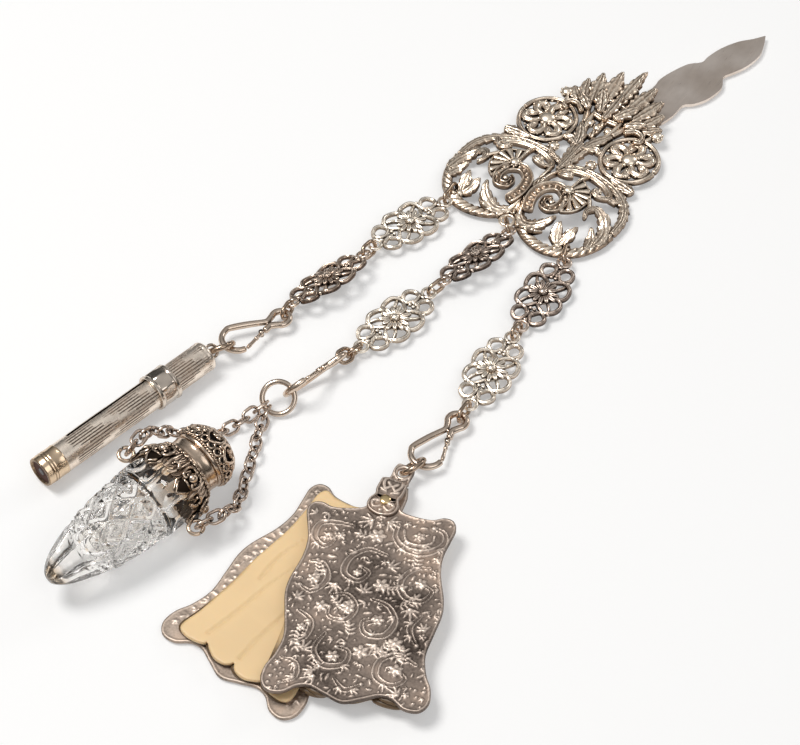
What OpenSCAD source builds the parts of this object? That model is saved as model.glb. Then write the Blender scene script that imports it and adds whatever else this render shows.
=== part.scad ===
// A chatelaine laid out on a table: a pierced plaque with its belt hook, three strands of
// cast links, and a pencil, a scent bottle and a memo hanging from three spring hooks.
// The plaque points along +Y, the pendants lie towards -Y, and the table is the plane z = 0.

/* [Plaque and belt hook] */
// Width of the plaque across its two lobes
plaque_w = 55; // [51:1:59]
// Height of the plaque from the lobes to the top of the crown
plaque_h = 76; // [71:1:81]
// Thickness of the plaque's metal
plaque_t = 1.5; // [1.2:0.1:1.8]
// How far each lobe stands up at its middle
lobe_rise = 3.6; // [2:0.2:4.4]
// How far the crown's tip stands up
crown_rise = 3.4; // [2.6:0.2:4.6]
// Width of the belt hook's round part
hook_w = 15.4; // [13:0.2:17]
// Length of the belt hook
hook_l = 62; // [57:1:67]
// Thickness of the belt hook
hook_t = 1; // [0.8:0.1:1.3]

/* [Strands] */
// Length of a cast link from one eye to the other
link_l = 26.2; // [25:0.2:28]
// Width of a cast link
link_w = 15.6; // [14:0.2:17]
// Thickness of a cast link
link_t = 1.5; // [1.2:0.1:1.8]
// Hole in the eye of a cast link
eye_hole = 2.6; // [2.6:0.1:3]
// Wire of a jump ring
ring_wire = 1; // [0.8:0.1:1]
// Width of a jump ring between the middles of its wire
ring_w = 3.7; // [3.6:0.1:3.9]
// Wire of a spring hook
clip_wire = 1.6; // [1.3:0.1:1.7]
// Length of a spring hook from its eye to its bend
clip_l = 17.8; // [16:0.2:20]
// Width of a spring hook between the middles of its wire
clip_w = 8.7; // [8:0.1:10]
// Wire of the rings that carry the pendants
bow_wire = 1.5; // [1.2:0.1:1.6]

/* [Pencil] */
// Length of the pencil's sleeve
sleeve_l = 56.5; // [52:0.5:62]
// Outer diameter of the sleeve
sleeve_d = 8.4; // [8:0.1:9.2]
// Wall of the sleeve
sleeve_wall = 0.7; // [0.5:0.05:0.9]
// Length of the slider band
band_l = 6.6; // [5.5:0.1:8]
// Travel of the slider band
slide_l = 26; // [20:1:28]
// Diameter of the pencil's lead
lead_d = 2; // [1.4:0.1:2.6]

/* [Scent bottle] */
// Length of the glass from its tip to its shoulder
glass_l = 44; // [40:0.5:48]
// Greatest diameter of the glass
glass_d = 21.8; // [20.4:0.2:23]
// Diameter of the gilt collar and cap band
collar_d = 16.6; // [16:0.1:17.6]
// Height of the cap
cap_h = 9.2; // [9:0.2:11]
// Thickness of the cap's and mount's metal
cap_wall = 0.7; // [0.6:0.05:0.8]
// Diameter of the bore in the glass
bore_d = 8; // [7:0.1:8.4]

/* [Memo] */
// Width of the covers at their lower corners
cover_w = 40.6; // [38:0.2:43]
// Length of the covers from the rivet to the lower edge
cover_l = 60; // [56:1:64]
// Thickness of a cover
cover_t = 0.8; // [0.6:0.05:1]
// Height of a cover's raised ornament
relief_t = 0.4; // [0.3:0.05:0.5]
// Thickness of an ivory leaf
leaf_t = 0.8; // [0.6:0.05:0.9]
// Diameter of the rivet
rivet_d = 2.2; // [1.8:0.1:2.6]
// Angle of the back cover
back_turn = -3.5; // [-4:0.5:-3]
// Angle of the front cover
front_turn = 26; // [24:0.5:28]

/* [Hidden] */
gap = 0.15;             // small gap between neighbouring pieces
silver = "#b7a797";
dark_silver = "#8d8078";
gilt = "#b99a72";
ivory = "#e6cfa4";

// where the drawing's middle lies from the origin, which is under the middle of the whole
origin = [-11.26, 47.71];
plaque_turn = -1.8;     // the plaque lies turned a little
plaque_at = [-0.4, 0];
lift = 1.52;            // the rings carry the lobes' edge this far off the table
u = plaque_w / 55;      // the plaque is drawn on a grid of 55 by 76 squares
v = plaque_h / 76;

function turn(a, p) = [p[0] * cos(a) - p[1] * sin(a), p[0] * sin(a) + p[1] * cos(a)];
function ahead(a) = [sin(a), -cos(a)];             // a step towards the pendants, turned by a
function lay(p, z) = [p[0], p[1], z];
function smooth_step(t) = let(s = min(max(t, 0), 1)) s * s * (3 - 2 * s);
function mix(a, b, t) = a * (1 - t) + b * t;
function at3(list, t) = t < 0.5 ? mix(list[0], list[1], t * 2) : mix(list[1], list[2], t * 2 - 1);

// a smooth curve through a few points, with n steps from each point to the next
function curve(p, n) = let(m = len(p) - 1) concat([for (i = [0:m - 1], k = [0:n - 1])
    let(t = k / n, a = p[max(i - 1, 0)], b = p[i], c = p[i + 1], d = p[min(i + 2, m)])
    0.5 * (2 * b + (c - a) * t + (2 * a - 5 * b + 4 * c - d) * t * t
        + (3 * b - a - 3 * c + d) * t * t * t)], [p[m]]);
function normal(p, i, closed) = let(m = len(p),
    a = p[closed ? (i + m - 1) % m : max(i - 1, 0)], b = p[closed ? (i + 1) % m : min(i + 1, m - 1)],
    d = b - a) [-d[1], d[0]] / norm(d);

// joins rings of k points each into one closed solid
module skin(rings, k, closed) {
    n = len(rings);
    sides = [for (i = [0:n - (closed ? 1 : 2)], j = [0:k - 1])
        let(a = j, b = (j + k - 1) % k, s = i * k, e = (i + 1) % n * k)
        each [[s + a, e + a, e + b], [s + a, e + b, s + b]]];
    ends = closed ? [] : [[for (j = [k - 1:-1:0]) j], [for (j = [0:k - 1]) (n - 1) * k + j]];
    polyhedron([for (r = rings) each r], concat(sides, ends), convexity = 8);
}

// a round wire of diameter d along a flat path
module wire(path, d, k, closed) {
    skin([for (i = [0:len(path) - 1]) let(m = normal(path, i, closed))
        [for (j = [0:k - 1]) let(a = -360 * (j + 0.5) / k)
            lay(path[i] + m * cos(a) * d / 2, sin(a) * d / 2)]], k, closed);
}

// puts what is drawn from [0, 0] along -Y to [0, -length] between points a and b
module between(a, b, roll) {
    d = b - a;
    translate(a) rotate([0, 0, atan2(d[0], -d[1])]) rotate([-asin(d[2] / norm(d)), 0, 0])
        rotate([0, roll, 0]) children();
}

// an oval ring of wire whose ends pass through a and b
module oval_ring(a, b, w, d, roll) {
    straight = max(norm(b - a) - w, 0.01);
    color(silver) between(a, b, roll) translate([0, -w / 2, 0]) {
        rotate_extrude(angle = 180) translate([w / 2, 0]) circle(d = d, $fn = 24);
        translate([0, -straight, 0]) rotate([0, 0, 180])
            rotate_extrude(angle = 180) translate([w / 2, 0]) circle(d = d, $fn = 24);
        for (s = [-1, 1]) translate([s * w / 2, 0, 0]) rotate([90, 0, 0])
            cylinder(d = d, h = straight, $fn = 24);
    }
}

// The plaque
// height of the metal's underside over the lobes' edge, on the drawing's grid
function swell(p) = let(x = abs(p[0]), y = p[1],
    lobe = 1 - pow((x - 10) / 15, 2) - pow((y + 4.5) / 15.5, 2),
    crown = smooth_step((y - 24) / 26) * (1 - 0.35 * min(x / 14, 1)))
    lobe_rise * smooth_step(lobe * 1.25) + crown_rise * crown + 0.5 * smooth_step((y - 8) / 16);
function on_grid(p) = [p[0] * u, p[1] * v];

// the plan of a cast scroll: its middle line on the grid, its width at the start, middle and
// end, and k, the share of that width that is drawn
module scroll(widths, points, k, n = 2) {
    line = curve(points, n);
    m = len(line) - 1;
    side = [for (i = [0:m]) normal(line, i, false) * at3(widths, i / m) * k / 2];
    polygon(concat([for (i = [0:m]) on_grid(line[i]) + side[i]],
        [for (i = [m:-1:0]) on_grid(line[i]) - side[i]]));
}
// the domed sheet that the scrolls are cut from, between two heights over its underside
sheet_x = [-30, -22.3, -16.7, -9.37, -4.1, 4.1, 9.37, 16.7, 22.3, 30];
sheet_y = [-23.5, -16.3, -9.7, 1.3, 8.9, 23.3, 37.7, 45.3, 54.5];
module sheet(low, high) {
    nx = len(sheet_x);
    ny = len(sheet_y);
    points = [for (z = [low, high], y = sheet_y, x = sheet_x) lay(on_grid([x, y]), lift + z + swell([x, y]))];
    n = nx * ny;
    edges = concat([for (i = [0:nx - 2]) [i, i + 1]], [for (j = [0:ny - 2]) [j * nx + nx - 1, (j + 1) * nx + nx - 1]],
        [for (i = [nx - 1:-1:1]) [(ny - 1) * nx + i, (ny - 1) * nx + i - 1]],
        [for (j = [ny - 1:-1:1]) [j * nx, (j - 1) * nx]]);
    polyhedron(points, concat(
        [for (j = [0:ny - 2], i = [0:nx - 2]) let(a = j * nx + i) each [[a, a + 1, a + nx + 1], [a, a + nx + 1, a + nx],
            [n + a, n + a + nx + 1, n + a + 1], [n + a, n + a + nx, n + a + nx + 1]]],
        [for (e = edges) each [[e[0], e[0] + n, e[1] + n], [e[0], e[1] + n, e[1]]]]), convexity = 8);
}
module bead(p, d) {
    translate(lay(on_grid(p), lift + 0.37 + swell(p))) cylinder(d1 = d, d2 = d * 0.6, h = plaque_t, $fn = 24);
}

outer_band = [[1.2, 9.2], [6, 10.9], [12, 10.9], [18, 9.4], [23, 5.8], [25.8, 0.8], [26.4, -5.5],
    [25.4, -11.5], [22.3, -17], [17.5, -20.3], [12.5, -21.2], [7.5, -20], [3.5, -17.4], [1, -13.8],
    [0.4, -9]];
upper_scroll = [[6.8, 3.9], [5.4, 3], [3.2, 3], [1.9, 4.9], [2.9, 7.2], [6, 8.5], [10.5, 8.7],
    [15, 7.8], [18, 5.8], [18.5, 3.2], [16.9, 1.4], [15, 2.1], [15.3, 3.8]];
volute = [[3.6, -13.8], [1.9, -9.5], [2.8, -5], [6.3, -2.4], [10, -4.6], [10.3, -9], [8.2, -11.4],
    [6.4, -10], [7.5, -8.7]];
fan_bead = [9.3, -2.2];
fan_tips = [[11.5, 3.2], [14.2, 1.6], [15.6, -0.8], [15.9, -3.4], [15.4, -6], [13.8, -8.4], [11.6, -10]];
hub = [14.4, 21.6];      // middle of a roundel
hole_l = [-19.5, -16.4];  // where the strands' rings pass through the plaque
hole_m = [0, -18.6];
hole_r = [19.4, -16.4];
hub_r = 8.3;
// the scrolls of one half: widths, then points
half_scrolls = [
    [[1.6, 2.5, 1.6], outer_band], [[1.4, 1.7, 1.5], upper_scroll], [[2.4, 1.9, 2.2], volute],
    [[1, 1.5, 2], [[0.6, -1.5], [0.7, -6], [1, -11], [1.9, -15.5], [4, -19]]],
    [[1.6, 3.2, 0.8], [[1.2, -14.8], [4.5, -17.2], [8, -16.8], [10.8, -14.5], [11.8, -11.8]]],
    [[1.2, 1.8, 0.6], [[3.5, -18.2], [7.5, -18.7], [11, -17.2]]],
    [[1.4, 2.6, 0.6], [[16.9, -18.2], [17.8, -14.5], [18.7, -10.8]]],
    [[1.4, 2.6, 0.6], [[16.6, -18.3], [14.7, -15.8], [14, -12.4]]],
    [[1.6, 1.5, 1.5], [[17, -20.4], [16.9, -18.9], [16.8, -17.8]]],
    [[3, 2.4, 1], [[25.3, -12], [24.8, -7], [22.3, -3.2], [19.2, -2.9], [17.7, -5.2], [18.6, -7.9]]],
    [[1.2, 2.8, 1], [[24.2, -15], [23.4, -11], [21.2, -8]]],
    [[1.2, 1.8, 1.2], [[18.4, 3], [20.6, 5.6], [21.8, 7]]],
    [[1.6, 1.2, 1.6], [[15.6, -1], [17.2, -3.2], [18.2, -4.6]]],
    [[1.2, 1.2, 1.2], [[9.6, 8.6], [9.3, 3], [9.3, -2]]],
    [[1.4, 1.2, 1.4], [[1.9, 5], [0.9, 2], [0.5, -2]]],
    [[1.2, 1.4, 1.2], [[10.2, -6], [11.6, -4.4], [12.5, -4]]],
    // the stem, its leaves and the buds between the roundels
    [[2.6, 2, 1.4], [[0.4, 8], [0.9, 14], [2.1, 20], [4.6, 24.6]]],
    [[1.4, 2.4, 0.8], [[1.2, 17], [2.6, 21.5], [5.6, 26.4]]],
    [[1.4, 1.3, 1.8], [[2.2, 10], [5.5, 9.4], [6.6, 12.4], [6.6, 14.5]]],
    [[2.4, 3, 1], [[22.4, 11.2], [18.5, 11.9], [13.8, 12.2]]],
    [[1.6, 1.8, 1.6], [[1.6, 17.5], [4.2, 19.4], [6.6, 18.2]]],
    // the crown
    [[1.6, 2.2, 0.4], [[8.2, 34], [10.4, 38.6], [11.8, 42]]],
    [[1.6, 3, 0.4], [[6.4, 33], [8.6, 39], [10.4, 44.6]]],
    [[1.8, 3.4, 0.4], [[3.8, 33], [4.9, 40.6], [6.2, 47.8]]],
    [[1.4, 2.6, 0.4], [[10.2, 34.4], [12.6, 36.8], [13.8, 38.6]]],
    [[1.4, 2, 1.6], [[5.8, 40], [8.4, 40.8], [11.5, 39.4], [12.8, 36.2], [11.2, 33.4], [8.6, 34]]],
    [[1.6, 1.8, 1.6], [[4.8, 26.5], [6.4, 30.6], [9, 33.6]]],
    [[1.6, 1.4, 1.6], [[13.6, 30], [14.6, 32], [15.4, 34.4]]],
    [[1.4, 1.2, 1.4], [[11.2, 33.8], [12.6, 31.8], [12.4, 29.6]]],
    [[1.8, 1.8, 1.8], [[3.4, 24], [4.2, 29], [4.4, 34]]]];
// the scrolls along the middle, the last one round the eye for the middle strand
middle_scrolls = [[[2.2, 3.6, 0.5], [[0, 32], [0, 42], [0, 52.8]]], [[1.6, 2.2, 1.8], [[0, 22], [0, 29], [0, 36]]],
    [[1.8, 1.4, 2], [[0, -1.5], [0, -9], [0, -16.4]]], [[2, 2.2, 2], [[-3.6, 36.2], [0, 36.6], [3.6, 36.2]]],
    [[1.8, 1.8, 1.8], [[-4.2, 30.6], [0, 30.2], [4.2, 30.6]]], [[2, 2, 2], [[0, 6], [0, 12], [0, 19]]],
    [[1.1, 1.1, 1.1], [for (a = [0:40:360]) hole_m + 2.05 * [sin(a), cos(a)]]]];
half_beads = [[fan_bead, 2.4], [[6.6, 13.6], 3], [[8.2, -9], 3.6], [[16.9, -18.2], 2.2], [[5.2, 3.9], 2.6],
    [[15.8, 33.6], 3], [[15.6, 3], 2.2], [[3, 27.4], 2.4]];

module roundel(k) {
    scroll([1.4, 1.4, 1.4], [for (a = [0:20:360]) hub + hub_r * [cos(a), 1.04 * sin(a)]], k, 1);
    for (a = [20:60:320]) scroll([2.2, 3.4, 1], [for (s = [[1.4, 0], [4, 8], [6.6, 30], [8, 44]])
        hub + s[0] * [cos(a + s[1]), sin(a + s[1])]], k);
}
module half_plan(k) {
    for (s = half_scrolls) scroll(s[0], s[1], k, len(s[1]) > 6 ? 1 : 2);
    for (tip = fan_tips) scroll([0.8, 1.2, 2.1], [fan_bead, mix(fan_bead, tip, 0.5), tip], k, 1);
    scroll([1, 1.1, 1], concat([[9, 5]], fan_tips), k);
    roundel(k);
}
module plaque_plan(k) {
    half_plan(k);
    mirror([1, 0]) half_plan(k);
    for (s = middle_scrolls) scroll(s[0], s[1], k);
}
module plaque() {
    color(silver) translate(lay(plaque_at, 0)) rotate([0, 0, plaque_turn]) {
        intersection() {
            linear_extrude(20) offset(delta = -0.15) offset(delta = 0.18) plaque_plan(1);
            sheet(0, plaque_t * 0.68);
        }
        intersection() {
            linear_extrude(20) offset(delta = -0.15) offset(delta = 0.18) plaque_plan(0.56);
            sheet(plaque_t * 0.5, plaque_t);
        }
        for (s = [-1, 1], b = concat([[hub, 5]], half_beads)) bead([s * b[0][0], b[0][1]], b[1]);
    }
}

// The belt hook, one flat tongue that runs up from behind the crown
// half widths and distances as shares of hook_w and hook_l: along, left, right
hook_rows = [[0, 0.3, 0.3], [0.1, 0.36, 0.36], [0.25, 0.38, 0.38], [0.34, 0.44, 0.3], [0.39, 0.5, 0.42],
    [0.47, 0.5, 0.5], [0.57, 0.44, 0.46], [0.63, 0.3, 0.27], [0.68, 0.33, 0.3], [0.77, 0.33, 0.36],
    [0.87, 0.24, 0.32], [0.94, 0.1, 0.18], [1, 0.01, 0.01]];
hook_turn = -13;
hook_at = [5.4, 31.5];
hook_z = 0.85;
module belt_hook() {
    n = len(hook_rows) - 1;
    left = curve([for (r = hook_rows) [-r[1] * hook_w, r[0] * hook_l]], 3);
    right = curve([for (i = [n:-1:0]) [hook_rows[i][2] * hook_w, hook_rows[i][0] * hook_l]], 3);
    color(silver) translate(lay([hook_at[0] * u, hook_at[1] * v], hook_z)) rotate([0, 0, hook_turn])
        linear_extrude(hook_t) polygon(concat(left, right));
}

// Strands
// each step: length or -1 for a cast link, turn from -Y, roll, and the height where it ends
steps_l = [[7.5, 8.5, 71, 2.75], [-1, -13.5, 0, 3.3], [5.6, 1, 65, 4.2],
    [-1, -11.5, -25, 3.9], [5.3, 8, 79, 3.5]];
steps_m = [[6, 36, 72, 3.9], [-1, -8.4, -25, 4.2], [5.6, -15, 85, 3.2],
    [-1, -8.7, 0, 2.6], [4.9, -11, 104, 3]];
steps_r = [[6.8, 23, 74, 2.7], [-1, 6.5, 0, 2.4], [5, 5, 72, 2.5],
    [-1, 8.6, 0, 2.6], [6.2, 6, 80, 2.9]];
function hole(p) = turn(plaque_turn, on_grid(p)) + plaque_at;
function walk(steps, p, i = 0) = i == len(steps) ? [p] : let(s = steps[i],
    q = [p[0], p[1]] + ahead(s[1]) * (s[0] < 0 ? link_l : s[0])) concat([p], walk(steps, lay(q, s[3]), i + 1));
hole_z = lift + plaque_t / 2;
way_l = walk(steps_l, lay(hole(hole_l), hole_z));
way_m = walk(steps_m, lay(hole(hole_m), hole_z - 0.6));
way_r = walk(steps_r, lay(hole(hole_r), hole_z));
module strand_ring(way, steps, i) {
    oval_ring(way[i], way[i + 1], ring_w, ring_wire, steps[i][2]);
}

// A cast link: interlaced straps round a daisy, with an eye at each end
kx = link_w / 15.6;
ky = (link_l - 26.2) / 26.2 + 1;
strap_w = 1.25;
module flat_strap(points, w) {
    line = curve([for (p = points) [p[0] * kx, p[1] * ky]], 3);
    m = len(line) - 1;
    polygon(concat([for (i = [0:m]) line[i] + normal(line, i, false) * w / 2],
        [for (i = [m:-1:0]) line[i] - normal(line, i, false) * w / 2]));
}
end_loop = [[-0.2, 10.6], [2.6, 11], [4.5, 9.3], [3.9, 6.9], [1.6, 5], [-0.4, 3.4]];
inner_loop = [[0.4, 7], [1, 9], [2.6, 9.6], [3.2, 8.2], [2.4, 6.4], [1, 5.2]];
side_loop = [[0.6, 8.6], [2, 6.6], [4.6, 6], [6.8, 4.6], [7.15, 2.2], [6.2, 0.4], [4.2, 0.4], [2.2, 2]];
cross_strap = [[2.4, 2.2], [4.2, 4], [5.2, 5.6]];
module link_plan() {
    for (s = [-1, 1], t = [-1, 1]) scale([s, t]) {
        flat_strap(end_loop, strap_w);
        flat_strap(inner_loop, 1);
        flat_strap(side_loop, strap_w);
        flat_strap(cross_strap, 1);
    }
    circle(d = 7 * kx, $fn = 32);
}
module cast_link(a, b, roll) {
    r = eye_hole / 2;
    color(silver) between(a, b, roll) translate([0, -link_l / 2, 0]) {
        translate([0, 0, -link_t / 2]) linear_extrude(link_t) offset(delta = 0.02) link_plan();
        translate([0, 0, link_t / 2 - 0.1]) {
            cylinder(d = 2.4, h = 1, $fn = 24);
            for (a = [0:45:315]) rotate([0, 0, a + 22.5]) translate([2.7, 0, 0]) cylinder(d = 2, h = 0.55, $fn = 24);
        }
        for (s = [-1, 1]) translate([0, s * link_l / 2, -0.6]) difference() {
            union() {
                cylinder(d = eye_hole + 1.9, h = 1.2, $fn = 32);
                translate([-0.9, s > 0 ? -3 : 1.6, 0]) cube([1.8, 1.4, 1.2]);
            }
            translate([0, 0, -1]) cylinder(r = r, h = 4, $fn = 32);
        }
    }
}

// Spring hooks: the wire runs from a stub round the eye and the bend, and a gate closes it
clip_r = clip_w / 2;
eye_r = 2.5;            // the wire's middle round a hook's eye
waist = clip_wire / 2 + 0.12;
stub_end = [1.75, -6.2];
bend = clip_l - clip_r; // from the eye to the middle of the round bend
module clip_body() {
    path = concat([stub_end, [1.3, -5]], [[waist, -3.7]],
        [for (a = [-45:22.5:225]) eye_r * [cos(a), sin(a)]],
        [[-waist, -3.7], [-1.3, -5], mix([-1.3, -5], [-clip_r, 1 - bend], 0.5)],
        [for (a = [180:20:360]) [0, -bend] + clip_r * [cos(a), sin(a)]]);
    color(silver) wire(path, clip_wire, 8, false);
}
module clip_at(eye, low, roll) { between(eye, low, roll) children(); }
gate_from = stub_end + [0.15, -0.2 - clip_wire / 2];
gate_to = [clip_r - 0.05, 0.5 - bend];
module gate() {
    d = gate_to - gate_from;
    color(dark_silver) {
        translate(lay(gate_from, -clip_wire / 2)) cylinder(d = 1.5, h = clip_wire, $fn = 24);
        translate(gate_from) rotate([0, 0, atan2(d[1], d[0])]) rotate([0, 90, 0])
            cylinder(d = 1.1, h = norm(d), $fn = 24);
    }
}
// a hook's eye hangs below the end of the ring that carries it
eye_drop = eye_r - clip_wire / 2 - ring_wire / 2 - 0.5;
turn_l = -21;
turn_m = -10;
turn_r = 0;
roll_m = -60;           // the middle hook stands on edge and leans over
function step(p, a, l, dz) = p + lay(ahead(a) * l, dz);
eye_l = step(way_l[5], turn_l, eye_drop, 0);
eye_right = step(way_r[5], turn_r, eye_drop, 0);
// the middle hook hangs from one ring more, which is linked to the last
extra_from = step(way_m[5], -11, -ring_wire - 0.35, 0.1);
extra_to = step(extra_from, -11, 4.7, 0.9);
eye_m = step(extra_to, turn_m, eye_drop, 0.3);
bend_l = step(eye_l, turn_l, clip_l, 0.25);
bend_m = step(eye_m, turn_m, clip_l, 1.3);
bend_r = step(eye_right, turn_r, clip_l, 0.25);
// a pendant's ring passes round the bend of its hook
ring_in = clip_wire / 2 + bow_wire / 2 + 0.25;
from_l = step(bend_l, turn_l, -ring_in, -0.85);
from_m = step(bend_m, turn_m, -ring_in, 0);
from_r = step(bend_r, turn_r, -ring_in, 0);

// The pencil, drawn standing on its open end
pencil_turn = -10;
lug_hole = 2.6;
lug_out = 1.9;          // from the sleeve's end to the middle of the lug's hole
bow_roll = 47;
bow_w = 7;
bow_l = 6.8;
pencil_z = sleeve_d / 2 + 1;
lug_at = [from_l[0] - 1.1, from_l[1] - sqrt(bow_l * bow_l - 1.21 - pow(pencil_z - from_l[2], 2)), pencil_z];
pencil_top = step(lug_at, pencil_turn, lug_out, 0);
band_from = 12.6;
bore = sleeve_d - 2 * sleeve_wall;
module pencil_place() {
    translate(pencil_top) rotate([0, 0, pencil_turn]) rotate([90, 0, 0]) children();
}
module pencil_sleeve() {
    color(silver) pencil_place() difference() {
        union() {
            translate([0, 0, 0.4]) cylinder(d = sleeve_d, h = sleeve_l - 0.4, $fn = 48);
            cylinder(d1 = sleeve_d - 0.8, d2 = sleeve_d, h = 0.4, $fn = 48);
            for (z = [6.4, 3.4, 0.7]) translate([0, 0, sleeve_l - z])
                cylinder(d = sleeve_d + 0.3, h = 0.6, $fn = 48);
            rotate([0, 0, bow_roll]) {
                translate([-0.6, 0, -lug_out]) rotate([0, 90, 0]) cylinder(d = lug_hole + 1.8, h = 1.2, $fn = 32);
                translate([-0.6, -1.6, -1]) cube([1.2, 3.2, 1.4]);
            }
        }
        rotate([0, 0, bow_roll]) translate([-3, 0, -lug_out]) rotate([0, 90, 0])
            cylinder(d = lug_hole, h = 6, $fn = 32);
        translate([0, 0, 1.2]) cylinder(d = bore, h = sleeve_l, $fn = 48);
        // the slot on its left side, which the slider's pin runs in
        translate([-sleeve_d, -0.65, band_from + 1])
            cube([sleeve_d, 1.3, band_l + slide_l - 1]);
    }
}
module pencil_slider() {
    inner = sleeve_d + 2 * gap;
    color(silver) pencil_place() {
        difference() {
            union() {
                translate([0, 0, band_from]) cylinder(d = sleeve_d + 1.6, h = band_l, $fn = 8);
                for (z = [0, band_l - 0.8]) translate([0, 0, band_from + z])
                    cylinder(d = sleeve_d + 1.8, h = 0.8, $fn = 48);
            }
            translate([0, 0, band_from - 1]) cylinder(d = inner, h = band_l + 2, $fn = 48);
        }
        // the pin that carries the pencil through the slot
        translate([-inner / 2 - 0.1, -0.45, band_from + 1.8])
            cube([(inner - bore) / 2 + 0.24, 0.9, band_l - 3.6]);
    }
}
wood_d = bore - 0.5;
wood_from = band_from + 0.4;
wood_to = sleeve_l - 0.5;
module pencil_wood() {
    color("#6b3420") pencil_place() difference() {
        translate([0, 0, wood_from]) cylinder(d = wood_d, h = wood_to - wood_from, $fn = 48);
        translate([0, 0, wood_from + 2]) cylinder(d = lead_d + 0.2, h = sleeve_l, $fn = 32);
    }
}
module pencil_lead() {
    color("#77736f") pencil_place() translate([0, 0, wood_from + 2.1])
        cylinder(d = lead_d, h = wood_to - wood_from - 2, $fn = 32);
}

// The large ring of the bottle, turned to face up and over
big_ring_d = 8.6;
big_ring_way = [-0.45, -0.827, -0.345];
big_ring_roll = 35;
to_m = from_m + big_ring_way * big_ring_d;
module ring_bottle() {
    color(silver) between(from_m, to_m, big_ring_roll) translate([0, -big_ring_d / 2, 0])
        rotate_extrude($fn = 64) translate([big_ring_d / 2, 0]) circle(d = bow_wire, $fn = 24);
}

// The scent bottle, drawn standing on its tip
bottle_turn = -9.5;
bottle_tilt = 2.5;
bottle_roll = 15;
skirt_l = 9.4;
skirt_r = glass_d / 2 + 0.5;
skirt_z = glass_l - skirt_l;
collar_r = collar_d / 2;
cap_from = glass_l + 5;
bottle_l = cap_from + cap_h;
bottle_at = [to_m[0] + 4.3, to_m[1] - 17.4];    // under the top of the cap
lug_z = glass_l - 7.4;
lug_r = skirt_r + 2.6;
function bottle_point(p) = let(a = bottle_tilt - 90, q = turn(bottle_roll, p),
    y = q[1] * cos(a) - (p[2] - bottle_l) * sin(a), z = q[1] * sin(a) + (p[2] - bottle_l) * cos(a))
    lay(turn(bottle_turn, [q[0], y]) + bottle_at, z + skirt_r + 0.05 + (bottle_l - skirt_z) * sin(bottle_tilt));
module bottle_place() {
    translate(lay(bottle_at, skirt_r + 0.05 + (bottle_l - skirt_z) * sin(bottle_tilt)))
        rotate([bottle_tilt - 90, 0, bottle_turn]) translate([0, 0, -bottle_l])
            rotate([0, 0, bottle_roll]) children();
}
// the glass: distance from the tip and radius, as shares of glass_l and glass_d / 2
glass_rows = [[0, 0.16], [0.03, 0.36], [0.1, 0.6], [0.2, 0.75], [0.32, 0.87], [0.45, 0.94], [0.6, 0.985],
    [0.75, 1], [0.88, 0.95], [0.96, 0.84], [1, 0.66]];
module bottle_glass() {
    k = 16;
    color("#d8d6d0", 0.6) bottle_place() difference() {
        skin([for (r = glass_rows) [for (j = [0:k - 1]) let(a = -360 * (j + 0.5) / k)
            [cos(a) * r[1] * glass_d / 2, sin(a) * r[1] * glass_d / 2, r[0] * glass_l]]], k, false);
        translate([0, 0, glass_l * 0.25]) cylinder(d = bore_d, h = glass_l, $fn = 32);
    }
}
module bottle_mount() {
    in_r = bore_d / 2 + 1.2;
    top = cap_from + cap_h * 0.45;
    color(gilt) bottle_place() {
        rotate_extrude($fn = 64) polygon([[in_r, glass_l + gap], [collar_r + 0.9, glass_l + gap],
            [collar_r + 0.9, glass_l + 1.2], [collar_r, glass_l + 1.7], [collar_r, cap_from - gap],
            [collar_r - cap_wall - gap, cap_from - gap], [collar_r - cap_wall - gap, top], [in_r, top]]);
        // the skirt of hanging leaves over the glass
        difference() {
            rotate_extrude($fn = 64) polygon([[collar_r - 0.6, glass_l + 0.3], [collar_r + 0.9, glass_l + 0.8],
                [skirt_r, glass_l - 3.4], [skirt_r, skirt_z], [skirt_r - 0.4, skirt_z],
                [skirt_r - 0.4, glass_l - 3.2], [collar_r + 0.1, glass_l + 0.16], [collar_r - 0.6, glass_l + 0.16]]);
            for (a = [0:60:300]) rotate([0, 0, a + 30]) translate([4, 0, skirt_z]) rotate([90, 0, 90])
                linear_extrude(12) polygon([[-5, -1], [-0.5, skirt_l - 3], [0.5, skirt_l - 3], [5, -1]]);
        }
        for (s = [-1, 1]) translate([s * lug_r, 0, lug_z]) rotate([90, 0, 0]) difference() {
            union() {
                cylinder(d = 4.9, h = 1.2, center = true, $fn = 32);
                translate([s > 0 ? -2.9 : 1.5, -1, -0.6]) cube([1.4, 2, 1.2]);
            }
            cylinder(d = 2.9, h = 4, center = true, $fn = 32);
        }
    }
}
module bottle_cap() {
    rim = cap_from + 4.4;
    dome = cap_h - 4.4;
    color(gilt) bottle_place() rotate_extrude($fn = 64)
        polygon(concat([[collar_r - cap_wall, cap_from], [collar_r, cap_from], [collar_r, rim - 1],
            [collar_r + 0.7, rim - 0.7]],
            [for (a = [0:15:90]) [(collar_r + 0.7) * cos(a), rim + dome * sin(a)]],
            [for (a = [90:-15:0]) [(collar_r - cap_wall) * cos(a), rim + (dome - cap_wall) * sin(a)]]));
}

// Cable chains between the large ring and the bottle's lugs
chain_wire = 0.9;
chain_link = [4.7, 3.2];    // an oval link between the middles of its wire
oval = [for (i = [0:11]) let(a = 30 * i + 15) [chain_link[1] / 2 * cos(a),
    (chain_link[0] - chain_link[1]) / 2 * sign(sin(a)) + chain_link[1] / 2 * sin(a) - chain_link[0] / 2]];
function along(p, s, i = 0) = let(d = norm(p[i + 1] - p[i]))
    s <= d || i == len(p) - 2 ? p[i] + (p[i + 1] - p[i]) * s / d : along(p, s - d, i + 1);
function total(p, i = 0) = i == len(p) - 1 ? 0 : norm(p[i + 1] - p[i]) + total(p, i + 1);
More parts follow.
